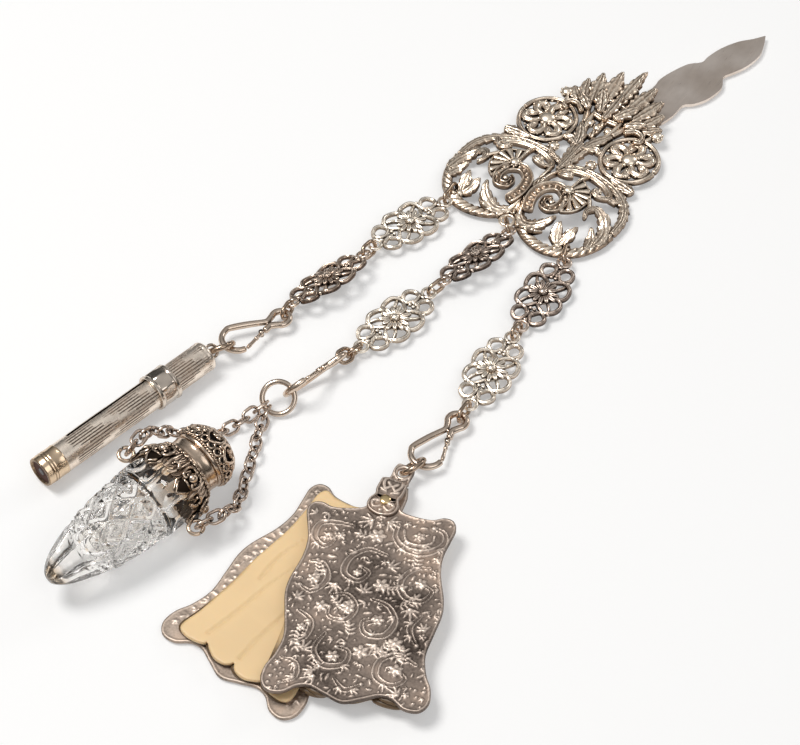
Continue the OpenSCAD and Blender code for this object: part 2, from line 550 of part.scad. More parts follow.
// sideways and upward directions of what is drawn between two points, and the roll that turns
// the first of them to a given direction
function sideways(d) = let(a = atan2(d[0], -d[1])) [cos(a), sin(a), 0];
function upward(d) = let(a = atan2(d[0], -d[1]), b = asin(d[2] / norm(d)))
    [-sin(a) * sin(b), cos(a) * sin(b), cos(b)];
function roll_to(d, n) = atan2(-(n * upward(d)), n * sideways(d));
ring_side = sideways(big_ring_way) * cos(big_ring_roll) - upward(big_ring_way) * sin(big_ring_roll);
ring_mid = (from_m + to_m) / 2;
lug_left = bottle_point([-lug_r, 0, lug_z]);
lug_right = bottle_point([lug_r, 0, lug_z]);
lug_face = bottle_point([0, 1, 0]) - bottle_point([0, 0, 0]);
// the chains' routes: the angle round the ring, chosen points on the table, and the lug
route_left = [-8, [[-16.6, -117.2, 2.1], [-17.9, -122.4, 2.1], [-19.8, -127.2, 2.6], [-22.6, -132, 5],
    [-26, -137.4, 9.4], [-28, -144, 15.5]], lug_left];
route_right = [16, [[-12.5, -117.5, 2.1], [-9.6, -123, 2.1], [-6.6, -129.4, 2.1], [-3.4, -136.6, 2.1],
    [-0.2, -143, 4], [0.7, -148.2, 7.9]], lug_right];
module chain(route) {
    held = ring_mid + (big_ring_way * cos(route[0]) + ring_side * sin(route[0])) * big_ring_d / 2;
    way = (route[1][0] - held) / norm(route[1][0] - held);
    wire_way = ring_side * cos(route[0]) - big_ring_way * sin(route[0]);
    from = held - way * (bow_wire / 2 / norm(cross(way, wire_way)) + chain_wire / 2 + 0.2);
    path = concat([from], curve(route[1], 4), [route[2]]);
    reach = total(path) - chain_link[0];
    n = ceil(reach / (chain_link[0] - chain_wire - 0.2));
    ends = [for (i = [0:n]) [along(path, reach * i / n), along(path, reach * i / n + chain_link[0])]];
    first = roll_to(way, cross(wire_way, way));
    last = roll_to(ends[n][1] - ends[n][0], lug_face);
    whole = last - first + 180 * round((90 * n - last + first) / 180);
    color(silver) for (i = [0:n]) between(ends[i][0], ends[i][1], first + whole * i / n)
        wire(oval, chain_wire, 6, true);
}

// The memo: two covers and four leaves turn on one rivet under a folded shackle
memo_turn = [back_turn, back_turn + 1, front_turn - 6, front_turn - 3.5, front_turn];
shackle_turn = 13;
shackle_t = 0.5;
foot = 0.65;            // the back cover stands on its raised ornament
step_z = leaf_t + gap;
back_z = foot;
leaf_z = back_z + cover_t + gap;
front_z = leaf_z + 4 * step_z;
shackle_z = front_z + cover_t + gap;
memo_top = shackle_z + shackle_t;
hole_s = 12;            // from the rivet to the hole that the ring passes through
shackle_hole = 3.4;
memo_ring_l = 6.6;
end_z = memo_top / 2;   // height of the shackle's end
hole_at = [from_r[0] - 1.2, from_r[1] - sqrt(memo_ring_l * memo_ring_l - 1.44 - pow(end_z - from_r[2], 2))];
pivot = hole_at + ahead(shackle_turn) * hole_s;
module at_pivot(a, z = 0) { translate(lay(pivot, z)) rotate([0, 0, a]) children(); }
module ring_memo() {
    oval_ring(from_r, lay(hole_at, end_z), 5.8, bow_wire - 0.1, -50);
}
module memo_shackle() {
    inner_z = shackle_z;
    side = [[-4.4, inner_z], [-4.4, memo_top], [6.4, memo_top], [9, end_z + 0.6], [hole_s + 3, end_z + 0.6],
        [hole_s + 3, end_z - 0.6], [9, end_z - 0.6], [6.4, 0], [-4.4, 0], [-4.4, shackle_t - 0.02],
        [6.2, shackle_t - 0.02], [7.8, end_z - 0.8], [7.8, end_z + 0.8], [6.2, inner_z]];
    plan = [[-2, 14.4], [0, 15], [2, 14.4], [2.7, 12.6], [2.6, 9.6], [3.4, 7], [3.6, 3], [3.2, 1.2], [4, -0.8],
        [3.8, -3], [2.2, -4.4]];
    color(dark_silver) at_pivot(shackle_turn) difference() {
        intersection() {
            rotate([90, 0, 90]) linear_extrude(12, center = true) polygon(side);
            linear_extrude(memo_top + 1) polygon(concat(plan, [for (i = [len(plan) - 1:-1:3]) [-plan[i][0], plan[i][1]]]));
        }
        translate([0, hole_s, -1]) cylinder(d = shackle_hole, h = memo_top + 2, $fn = 32);
        translate([0, 0, -1]) cylinder(d = rivet_d + 2 * gap, h = memo_top + 2, $fn = 32);
    }
}
module memo_rivet() {
    color(gilt) at_pivot(0) {
        translate([0, 0, 0.1]) cylinder(d = rivet_d, h = memo_top + 0.1, $fn = 32);
        translate([0, 0, memo_top + 0.12]) cylinder(d1 = rivet_d + 0.9, d2 = rivet_d, h = 0.5, $fn = 32);
    }
}
// one half of a cover's outline, on a grid of 20.3 by 60
half_cover = [[0, 3], [2.2, 2.3], [3.4, 0], [4.8, -2.4], [8, -3.4], [12.5, -3.8], [15.6, -2.7], [18, -3.3],
    [19, -5.8], [18.2, -9.5], [17.1, -14.5], [17.4, -20], [19.2, -27], [19.5, -31.5], [18.5, -37],
    [17.4, -43.5], [18.4, -49], [20.1, -53], [20.3, -57], [18.2, -59.6], [14.6, -59.5], [11.5, -57.3],
    [8.5, -56.8], [4.5, -58.4], [0, -60]];
half_leaf = [[0, 2.4], [1.9, 1.8], [3, 0], [4.6, -3], [8, -4.6], [12.5, -5], [15.8, -4.6], [16.9, -7],
    [16.2, -12], [15.7, -20], [16.4, -30], [16.2, -40], [17, -50], [18, -55.6], [16.6, -57.4], [13, -57.6],
    [10, -56.8], [9.3, -55.8], [8, -56.8], [4, -58], [0, -58.4]];
function cover_grid(p) = [p[0] * cover_w / 40.6, p[1] * cover_l / 60];
module cover_plan(half) {
    right = curve([for (p = half) cover_grid(p)], 3);
    polygon(concat(right, [for (i = [len(right) - 2:-1:1]) [-right[i][0], right[i][1]]]));
}
module rivet_hole() {
    translate([0, 0, -5]) cylinder(d = rivet_d + 2 * gap, h = 20, $fn = 32);
}
// raised scrolls of the covers on the same grid
cover_scrolls = [[[4.6, -6.8], [4.4, -10.6], [7.6, -13.9], [12.8, -14.2], [16.6, -11], [16.4, -7.6], [13.6, -6.4]],
    [[3.2, -16.4], [-1.5, -15.4], [-5.5, -18.6], [-6.3, -23.2], [-2.5, -25.2], [-0.2, -22.4], [-2.6, -20.8]],
    [[-6.4, -9], [-10, -8.6], [-14.6, -9.4], [-15.6, -13.4], [-12.7, -16.2], [-10.6, -14], [-12, -12.4]],
    [[14.4, -18.6], [10.6, -19.6], [8, -23.6], [9.6, -28], [14, -28.6], [16, -25.4], [13.6, -24]],
    [[-15, -21], [-11.6, -21.6], [-10, -26], [-13, -30], [-16.4, -28.6]],
    [[-8, -30.4], [-4.2, -29.6], [-1.6, -33], [-3.4, -37], [-7.6, -36.6], [-8, -33.8]],
    [[2, -30], [6.2, -31.4], [8.6, -35.6], [6.6, -40], [2, -40.2], [0.8, -36.8], [3.4, -35.6]],
    [[14.6, -33], [12.4, -37], [14.8, -41.6]], [[-15.2, -36], [-11.6, -38.6], [-12, -43.4], [-15, -45.4]],
    [[-7.6, -41.6], [-9.4, -46.4], [-6.4, -50.6], [-1.6, -49.6], [-1, -45.8], [-4.2, -45]],
    [[15.6, -47], [11, -45], [7, -47], [6.6, -51.6], [10.6, -53.6], [13.6, -51.4], [11.6, -49.4]],
    [[-16.6, -50], [-13, -51], [-12.4, -55], [-15.8, -57]], [[-3, -54], [0, -56.6], [3.6, -54.4]]];
module ornament() {
    difference() {
        offset(delta = -0.3) cover_plan(half_cover);
        offset(delta = -1.3) cover_plan(half_cover);
        translate([-7, -6.2]) square([14, 10]);
    }
    for (p = cover_scrolls) {
        line = curve([for (q = p) cover_grid(q)], 3);
        m = len(line) - 1;
        polygon(concat([for (i = [0:m]) line[i] + normal(line, i, false) * 0.5],
            [for (i = [m:-1:0]) line[i] - normal(line, i, false) * 0.5]));
    }
    for (p = [[0, -11], [8, -10.4], [13, -23.6], [-3.4, -33.4], [4.4, -35.8], [-13.4, -26.4], [11, -49]])
        translate(cover_grid(p)) circle(d = 2.2, $fn = 16);
}
module memo_cover(a, z, face) {
    color(dark_silver) at_pivot(a, z) difference() {
        union() {
            linear_extrude(cover_t) cover_plan(half_cover);
            translate([0, 0, face > 0 ? cover_t - 0.1 : -foot]) linear_extrude((face > 0 ? relief_t : foot) + 0.1)
                offset(delta = 0.01) ornament();
        }
        rivet_hole();
    }
}
module memo_leaf(i) {
    color(ivory) at_pivot(memo_turn[i], leaf_z + i * step_z) difference() {
        linear_extrude(leaf_t) cover_plan(half_leaf);
        rivet_hole();
    }
}

module shown(name) { children(); }
translate(lay(origin, 0)) {
    shown("plaque") plaque();
    shown("belt_hook") belt_hook();
    for (s = [["l", way_l, steps_l], ["m", way_m, steps_m], ["r", way_r, steps_r]]) {
        for (i = [0:2]) shown(str("ring_", s[0], i + 1)) strand_ring(s[1], s[2], 2 * i);
        for (i = [0:1]) shown(str("link_", s[0], i + 1)) cast_link(s[1][2 * i + 1], s[1][2 * i + 2], s[2][2 * i + 1][2]);
    }
    shown("ring_m4") oval_ring(extra_from, extra_to, ring_w, ring_wire, 28);
    for (c = [["l", eye_l, bend_l, 0], ["m", eye_m, bend_m, roll_m], ["r", eye_right, bend_r, 0]]) {
        shown(str("clip_", c[0])) clip_at(c[1], c[2], c[3]) clip_body();
        shown(str("gate_", c[0])) clip_at(c[1], c[2], c[3]) gate();
    }
    shown("bow_pencil") oval_ring(from_l, lug_at, bow_w, bow_wire, -bow_roll);
    shown("pencil_sleeve") pencil_sleeve();
    shown("pencil_slider") pencil_slider();
    shown("pencil_wood") pencil_wood();
    shown("pencil_lead") pencil_lead();
    shown("ring_bottle") ring_bottle();
    shown("chain_left") chain(route_left);
    shown("chain_right") chain(route_right);
    shown("bottle_glass") bottle_glass();
    shown("bottle_mount") bottle_mount();
    shown("bottle_cap") bottle_cap();
    shown("ring_memo") ring_memo();
    shown("memo_shackle") memo_shackle();
    shown("memo_rivet") memo_rivet();
    shown("memo_back") memo_cover(memo_turn[0], back_z, -1);
    for (i = [0:3]) shown(str("memo_leaf_", i + 1)) memo_leaf(i);
    shown("memo_front") memo_cover(memo_turn[4], front_z, 1);
}
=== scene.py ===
from math import asin, atan2, ceil, cos, degrees, pi, radians, sin, sqrt

import bmesh
import bpy
import numpy as np
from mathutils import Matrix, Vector


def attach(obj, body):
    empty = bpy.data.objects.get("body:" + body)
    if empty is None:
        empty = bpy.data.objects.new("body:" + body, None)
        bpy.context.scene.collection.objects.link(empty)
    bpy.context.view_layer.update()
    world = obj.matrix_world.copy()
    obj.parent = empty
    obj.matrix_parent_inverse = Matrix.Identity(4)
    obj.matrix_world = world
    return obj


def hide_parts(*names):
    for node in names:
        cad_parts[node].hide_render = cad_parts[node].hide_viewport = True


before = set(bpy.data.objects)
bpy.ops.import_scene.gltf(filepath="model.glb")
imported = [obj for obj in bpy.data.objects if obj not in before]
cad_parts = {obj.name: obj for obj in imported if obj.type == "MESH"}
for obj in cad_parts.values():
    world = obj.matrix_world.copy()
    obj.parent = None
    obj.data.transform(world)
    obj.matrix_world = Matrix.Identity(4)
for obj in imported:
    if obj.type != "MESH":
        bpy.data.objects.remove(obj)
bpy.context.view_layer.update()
shift = np.array([-11.26, 47.71, 0.0])  # from the drawing's middle, in mm, to the frame's origin
print("frame loaded")


# shader maths: Sock wraps a socket, so that an expression on values adds its Math nodes
class Sock:
    def __init__(self, shader, socket):
        self.shader, self.socket = shader, socket

    def math(self, operation, *others, swap=False):
        values = [self, *others]
        if swap:
            values.reverse()
        return self.shader.node("ShaderNodeMath", {"operation": operation}, dict(enumerate(values)))

    def __add__(self, other): return self.math("ADD", other)
    def __radd__(self, other): return self.math("ADD", other)
    def __sub__(self, other): return self.math("SUBTRACT", other)
    def __rsub__(self, other): return self.math("SUBTRACT", other, swap=True)
    def __mul__(self, other): return self.math("MULTIPLY", other)
    def __rmul__(self, other): return self.math("MULTIPLY", other)

    def ramp(self, low, high):  # 0 below low, 1 above high, smooth between
        return self.shader.node("ShaderNodeMapRange", {"interpolation_type": "SMOOTHSTEP"},
                                {0: self, 1: low, 2: high, 3: 0.0, 4: 1.0})


class Finish:  # one material and the nodes in it
    def __init__(self, name):
        self.material = bpy.data.materials.new(name)
        self.material.use_nodes = True
        self.tree = self.material.node_tree
        self.shader = self.tree.nodes["Principled BSDF"]

    def node(self, kind, settings=None, inputs=None, output=0):
        made = self.tree.nodes.new(kind)
        for key, value in (settings or {}).items():
            setattr(made, key, value)
        for key, value in (inputs or {}).items():
            self.feed(made.inputs[key], value)
        return Sock(self, made.outputs[output])

    def feed(self, socket, value):
        if isinstance(value, Sock):
            self.tree.links.new(value.socket, socket)
        elif isinstance(value, (tuple, list)) and len(value) == 3 and socket.type == "RGBA":
            socket.default_value = (*value, 1.0)
        else:
            socket.default_value = value

    def put(self, **values):  # sets or links the shader's own sockets
        for key, value in values.items():
            self.feed(self.shader.inputs[key.replace("_", " ")], value)
        return self.material

    def where(self):
        return self.node("ShaderNodeTexCoord", output="Object")

    def noise(self, scale, detail=3.0, stretch=None):
        place = self.where()
        if stretch:
            place = self.node("ShaderNodeVectorMath", {"operation": "MULTIPLY"}, {0: place, 1: stretch})
        return self.node("ShaderNodeTexNoise", None, {"Vector": place, "Scale": scale, "Detail": detail})

    def attribute(self, name):
        return self.node("ShaderNodeAttribute", {"attribute_name": name}, output="Fac")

    def shade(self, distance):  # how open a place is: 0 in a recess, 1 in the open
        return self.node("ShaderNodeAmbientOcclusion", {"samples": 6, "only_local": True},
                         {"Distance": distance}, output="AO")

    def mix(self, factor, first, second, blend="MIX"):
        return self.node("ShaderNodeMix", {"data_type": "RGBA", "blend_type": blend},
                         {0: factor, 6: first, 7: second}, output=2)

    def bump(self, height, strength, distance):
        return self.node("ShaderNodeBump", None, {"Height": height, "Strength": strength, "Distance": distance})


oldSilver = dict(  # metal that has worn bright on its crests and black in its recesses
    crest=(0.97, 0.84, 0.69), middle=(0.38, 0.28, 0.205), recess=(0.02, 0.013, 0.009), tint=(0.62, 0.42, 0.29),
    reach=0.0016, roughness=0.28, patchScale=160.0, patchDepth=0.45, dark=0.0, warm=0.3, gloss=0.0, grain=0.25)
metals = {  # what differs from it in each
    "cast": dict(name="castSilver"),
    "castBright": dict(name="castSilverBright", crest=(0.98, 0.89, 0.77), middle=(0.52, 0.42, 0.33), dark=-0.1),
    "castDark": dict(name="castSilverDark", crest=(0.74, 0.62, 0.53), middle=(0.25, 0.185, 0.15), dark=0.04),
    "wire": dict(name="wireSilver", crest=(0.64, 0.525, 0.43), middle=(0.33, 0.25, 0.19), gloss=0.06, grain=0.1),
    "rust": dict(name="rustSilver", crest=(0.7, 0.57, 0.46), middle=(0.3, 0.21, 0.16), warm=0.5, gloss=0.04,
                 grain=0.15),
    "ring": dict(name="ringSilver", crest=(0.42, 0.32, 0.24), middle=(0.17, 0.115, 0.08), warm=0.4, gloss=0.06,
                 grain=0.1),
    "chain": dict(name="chainSilver", crest=(0.6, 0.49, 0.41), middle=(0.32, 0.24, 0.19), warm=0.4, gloss=0.05,
                  grain=0.15),
    "pencil": dict(name="pencilSilver", crest=(0.9, 0.79, 0.68), middle=(0.4, 0.315, 0.25), reach=0.0005, warm=0.25),
    "bright": dict(name="brightSilver", crest=(0.72, 0.63, 0.54), middle=(0.5, 0.42, 0.35), gloss=0.14, grain=0.05),
    "brass": dict(name="ferruleBrass", crest=(0.74, 0.57, 0.4), middle=(0.42, 0.295, 0.19), tint=(0.56, 0.38, 0.24),
                  gloss=0.08, grain=0.1),
    "gold": dict(name="goldRivet", crest=(0.86, 0.66, 0.36), middle=(0.6, 0.42, 0.2), tint=(0.7, 0.5, 0.25), gloss=0.1),
    "gilt": dict(name="giltSilver", crest=(0.68, 0.54, 0.42), middle=(0.23, 0.16, 0.115), recess=(0.03, 0.02, 0.014),
                 tint=(0.5, 0.31, 0.18), reach=0.0019, dark=0.09, warm=0.4, gloss=0.08),
    "cover": dict(name="coverSilver", crest=(0.64, 0.54, 0.465), middle=(0.29, 0.235, 0.2), recess=(0.03, 0.022, 0.018),
                  patchScale=75.0, patchDepth=0.7, reach=0.0008, roughness=0.48, warm=0.2, dark=-0.09),
    "backCover": dict(name="backCoverSilver", crest=(0.76, 0.66, 0.58), middle=(0.5, 0.415, 0.35),
                      recess=(0.05, 0.034, 0.026), reach=0.001, roughness=0.46, warm=0.25, dark=-0.1)}


def silver(name, **values):
    v = {**oldSilver, **values}
    f = Finish(name)
    patch, speck = f.noise(v["patchScale"]), f.noise(1500.0, 2.0)
    worn = (f.shade(v["reach"]).ramp(0.3, 0.97) * (0.3 + f.attribute("crest") * 0.65) + (speck - 0.5) * 0.3
            + (patch - 0.5) * v["patchDepth"] - v["dark"])
    color = f.mix(worn.ramp(0.1, 0.52), v["recess"], v["middle"])
    color = f.mix(worn.ramp(0.48, 0.88), color, v["crest"])
    color = f.mix(patch.ramp(0.5, 0.75) * v["warm"], color, v["tint"], "MULTIPLY" if v["dark"] > 0 else "MIX")
    rough = v["roughness"] - v["gloss"] + (1.0 - worn.ramp(0.2, 0.8)) * 0.22 + (speck - 0.5) * 0.15
    return f.put(Base_Color=color, Metallic=1.0, Roughness=rough, Normal=f.bump(speck, v["grain"], 0.00004))


def plainFinish(name, color, roughness, metallic=0.0):
    f = Finish(name)
    speck = f.noise(700.0)
    deep = tuple(0.6 * v for v in color)
    return f.put(Base_Color=f.mix(speck.ramp(0.45, 0.75) * 0.5, color, deep), Roughness=roughness, Metallic=metallic,
                 Normal=f.bump(speck, 0.1, 0.00003))


def ivoryFinish(name, tone, pivot=None):  # with a pivot, the end far from it is painted dark brown: painted shade for leaves whose lower end lies under the front cover
    f = Finish(name)
    opening, cloud, streak = f.shade(0.0016), f.noise(60.0), f.noise(40.0, 3.0, (1.0, 7.0, 1.0))
    color = f.mix(cloud.ramp(0.35, 0.7) * 0.5, tone, tuple(0.88 * v for v in tone))
    color = f.mix(streak.ramp(0.5, 0.8) * 0.25, color, tuple(1.06 * v for v in tone))
    color = f.mix(1.0 - opening.ramp(0.5, 0.97), color, (0.42, 0.24, 0.1))
    if pivot is not None:
        away = f.node("ShaderNodeVectorMath", {"operation": "DISTANCE"}, {0: f.where(), 1: tuple(pivot)}, "Value")
        # painted shade: about 50 mm from the pivot the colour turns dark brown
        color = f.mix((away + (cloud - 0.5) * 0.008).ramp(0.047, 0.053) * 0.95, color, (0.1, 0.06, 0.03))
    return f.put(Base_Color=color, Roughness=0.42, Subsurface_Weight=0.15, Subsurface_Scale=0.002,
                 Subsurface_Radius=(1.0, 0.6, 0.3))


def glassFinish():
    f = Finish("cutGlass")
    # browner in patches where the crest attribute is set, near the mount and at the tip
    brownEnds = f.noise(330.0).ramp(0.25, 0.5) * f.attribute("crest")
    return f.put(Base_Color=f.mix(brownEnds, (0.985, 0.965, 0.94), (0.72, 0.5, 0.3)), Transmission_Weight=1.0, IOR=1.5,
                 Roughness=0.03)


finishes = {key: silver(**values) for key, values in metals.items()}
# near-black, for the sheet under the cap's pierced dome: painted shade
finishes["dark"] = plainFinish("capShadeSheet", (0.03, 0.024, 0.02), 0.6, 0.3)
finishes["ivory"] = ivoryFinish("ivory", (0.76, 0.545, 0.3))
print("materials made")


# shapes, drawn in millimetres
def smoothPath(points, steps):
    p = np.asarray(points, float)
    p = np.vstack([p[:1], p, p[-1:]])
    out = []
    for i in range(1, len(p) - 2):
        a, b, c, d = p[i - 1], p[i], p[i + 1], p[i + 2]
        for k in range(steps):
            t = k / steps
            out.append(0.5 * (2 * b + (c - a) * t + (2 * a - 5 * b + 4 * c - d) * t * t
                              + (3 * b - a - 3 * c + d) * t ** 3))
    return np.array([*out, p[-1]])


def evenPath(points, step, smooth=6):  # a smooth path with a point every step, and the lengths up to them
    p = smoothPath(points, smooth)
    run = np.concatenate([[0], np.cumsum(np.linalg.norm(np.diff(p, axis=0), axis=1))])
    s = np.linspace(0, run[-1], max(int(run[-1] / step), 3) + 1)
    return np.stack([np.interp(s, run, p[:, k]) for k in range(p.shape[1])], 1), s


def slopes(p, closed=False):  # unit vectors along a path
    d = np.roll(p, -1, 0) - np.roll(p, 1, 0) if closed else np.gradient(p, axis=0)
    return d / np.maximum(np.linalg.norm(d, axis=1), 1e-9)[:, None]


def clamp(x):
    return np.clip(x, 0, 1)


def ridge(x, middle, width):
    return np.exp(-((x - middle) / width) ** 2)


def angles(count):  # in radians, all the way round
    return np.arange(count) * 2 * pi / count


def polar(radius, angle):
    return np.array([radius * cos(radians(angle)), radius * sin(radians(angle))])


def ahead(angle):  # the way that 0 points down the picture
    return np.array([sin(radians(angle)), -cos(radians(angle))])


def lay(p, z):
    return np.array([p[0], p[1], z], float)


def turned(p, angle):
    c, s = cos(radians(angle)), sin(radians(angle))
    p = np.asarray(p, float)
    q = p.copy()
    q[..., 0], q[..., 1] = p[..., 0] * c - p[..., 1] * s, p[..., 0] * s + p[..., 1] * c
    return q


def hoop(centre, radius, count, u=(1, 0, 0), v=(0, 1, 0)):  # points of a circle, from u towards v
    q = angles(count)[:, None]
    return np.asarray(centre, float) + radius * (np.cos(q) * u + np.sin(q) * v)


def oval(width, length, count):  # points of a ring that hangs from the origin along -y
    t = np.linspace(0, pi, count)
    bow = np.stack([np.cos(t), np.sin(t), 0 * t], 1) * width / 2
    return np.vstack([bow - (0, width / 2, 0), (0, width / 2 - length, 0) - bow])


def about(r, a, z):  # points at radius r and angle a about the z axis
    return np.stack(np.broadcast_arrays(r * np.cos(a), r * np.sin(a), z), -1)


def lathe(profile, count, start=0.0):
    r, z = np.array(profile, float).T[..., None]
    return about(r, angles(count) + start, z)


def quads(rows, columns):  # the corners of each cell of a grid that closes both ways
    i = np.arange(rows * columns).reshape(rows, columns)
    return np.stack([i, np.roll(i, -1, 1), np.roll(np.roll(i, -1, 0), -1, 1), np.roll(i, -1, 0)], -1)


def sideAndUp(d):  # the level direction across d, and the one square to both
    a, b = atan2(d[0], -d[1]), asin(d[2] / np.linalg.norm(d))
    return np.array([cos(a), sin(a), 0]), np.array([-sin(a) * sin(b), cos(a) * sin(b), cos(b)])


def between(a, b, roll):  # places what is drawn from the origin along -y between points a and b
    (side, up), r = sideAndUp(b - a), radians(roll)
    rows = np.stack([side * cos(r) - up * sin(r), np.cross(up, side), side * sin(r) + up * cos(r)])
    return lambda p: a + np.asarray(p, float) @ rows


def show(name, data):
    made = bpy.data.objects.new(name, data)
    bpy.context.scene.collection.objects.link(made)
    return made


class Shape:  # gathers grids of points, then makes one mesh of them
    def __init__(self):
        self.points, self.faces, self.crest, self.count = [], [], [], 0

    def add(self, points, faces, crest):
        points = np.asarray(points, float).reshape(-1, 3)
        self.points.append(points)
        self.crest.append(np.broadcast_to(np.asarray(crest, float).ravel(), len(points)))
        self.faces += [[int(k) + self.count for k in f] for f in faces]
        self.count += len(points)

    def grid(self, p, crest=1.0, wrap=False, ring=False, caps=False):
        rows, columns = p.shape[:2]
        cells = quads(rows, columns)[:rows if ring else rows - 1, :columns if wrap else columns - 1]
        faces = cells.reshape(-1, 4).tolist()
        if caps:
            faces += [range(columns - 1, -1, -1), range((rows - 1) * columns, rows * columns)]
        self.add(p, faces, crest)

    def tube(self, path, radius, sides=12, closed=False):
        p = np.asarray(path, float)
        r = np.broadcast_to(np.asarray(radius, float), len(p))[:, None, None]
        d = slopes(p, closed)
        side = np.cross(d, (0, 0, 1))
        weak = np.linalg.norm(side, axis=1) < 1e-3
        side[weak] = np.cross(d[weak], (1, 0, 0))
        side /= np.linalg.norm(side, axis=1)[:, None]
        a = angles(sides)[None, :, None]
        self.grid(p[:, None] + side[:, None] * (np.cos(a) * r) + np.cross(side, d)[:, None] * (np.sin(a) * r),
                  wrap=True, ring=closed, caps=not closed)

    def ball(self, centre, radius, flat=1.0, sides=12, rings=6):
        a, b = angles(sides), np.linspace(0.12 - pi / 2, pi / 2 - 0.12, rings)[:, None]
        p = np.stack([np.cos(b) * np.cos(a), np.cos(b) * np.sin(a), np.sin(b) * flat + 0 * a], -1)
        self.grid(p * radius + np.asarray(centre, float), wrap=True, caps=True)

    def placed(self, move):  # moves everything gathered so far
        self.points = [move(p) for p in self.points]
        return self

    def make(self, name, finish, body="chatelaine", nodes=(), slot=None):
        points = (np.vstack(self.points) + shift) / 1000
        points[:, 2] = np.maximum(points[:, 2], 0.00002)  # nothing dips into the table
        mesh = bpy.data.meshes.new(name)
        mesh.from_pydata(points.tolist(), [], self.faces)
        values = mesh.attributes.new("crest", "FLOAT", "POINT")
        values.data.foreach_set("value", np.concatenate(self.crest).astype(np.float32))
        b = bmesh.new()
        b.from_mesh(mesh)
        bmesh.ops.remove_doubles(b, verts=b.verts, dist=2e-7)
        bmesh.ops.dissolve_degenerate(b, edges=b.edges, dist=1e-7)
        bmesh.ops.recalc_face_normals(b, faces=b.faces)
        b.to_mesh(mesh)
        b.free()
        mesh.polygons.foreach_set("use_smooth", [True] * len(mesh.polygons))
        mesh.materials.append(finishes[finish])
        made = show(name, mesh)
        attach(made, body)
        if nodes:
            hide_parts(*nodes)


# sections of a cast strap: height over its edge at u, from -1 to 1 across, and s along it
pitch = {"leaf": 2.2, "pellet": 1.75, "herring": 2.3, "tooth": 2.6}


def arch(u, s=None):  # also the plain section
    return np.sqrt(clamp(1 - u * u))


def grooved(u, s):
    return arch(u) - 0.3 * ridge(np.abs(u), 0.42, 0.13)


def leafy(u, s):
    ripple = np.cos(2 * pi * (s / pitch["leaf"] + np.abs(u) * 0.9))
    ridges = 0.34 * ridge(u, 0, 0.12) + 0.2 * ridge(np.abs(u), 0.5, 0.12)
    return 0.9 * arch(u) ** 0.7 - ridges + 0.09 * ripple * np.abs(u)


def channel(u, s):
    pellet = clamp(1 - ((s % pitch["pellet"] - pitch["pellet"] / 2) / 0.5) ** 2 - (u / 0.36) ** 2) ** 0.5
    return 0.3 + 0.6 * ridge(np.abs(u), 0.8, 0.17) + 0.42 * pellet


def herring(u, s):
    return 0.8 * arch(u) ** 0.8 + 0.17 * np.cos(2 * pi * (s / pitch["herring"] - u * 0.75)) - 0.3 * ridge(u, 0.72, 0.12)


def strap(shape, points, widths, base, tall=1.2, side=0.45, section=grooved, step=0.3, across=13):
    path, s = evenPath(points, step)
    d, length = slopes(path), s[-1]
    w = np.interp(s / length, np.linspace(0, 1, len(widths)), widths) / 2
    if section is leafy:  # a toothed edge
        w = w * (1 + 0.4 * ((s / pitch["tooth"]) % 1 - 0.5) * clamp(4 * (1 - s / length)))
    w = w * np.clip(np.minimum(s + 0.1, length - s + 0.1) / 0.5, 0.05, 1) ** 0.5
    u, z0 = np.linspace(-1, 1, across), base(path)
    h = section(u[None, :], s[:, None]) + np.zeros((len(path), 1))
    top = z0[:, None] + side + tall * h * np.clip(w / 0.7, 0.35, 1)[:, None]
    xy = path[:, None] + np.stack([-d[:, 1], d[:, 0]], 1)[:, None] * (u[None, :] * w[:, None])[..., None]
    floor = np.concatenate([xy[:, -1:], xy[:, :1]], 1)
    p = np.concatenate([np.dstack([xy, top]), np.dstack([floor, np.repeat(z0[:, None], 2, 1)])], 1)
    shape.grid(p, np.concatenate([h, np.zeros((len(path), 2))], 1), wrap=True, caps=True)


# the plaque: a table of cast scrolls for one half, each a section, widths, points and how far it stands up
def swell(p):
    x, y = np.abs(p[:, 0]), p[:, 1]
    ease = lambda t: clamp(t) ** 2 * (3 - 2 * clamp(t))
    lobe = 1 - ((x - 10) / 15) ** 2 - ((y + 4.5) / 15.5) ** 2
    crown = ease((y - 24) / 26) * (1 - 0.35 * np.minimum(x / 14, 1))
    return 3.6 * ease(lobe * 1.25) + 3.4 * crown + 0.5 * ease((y - 8) / 16)


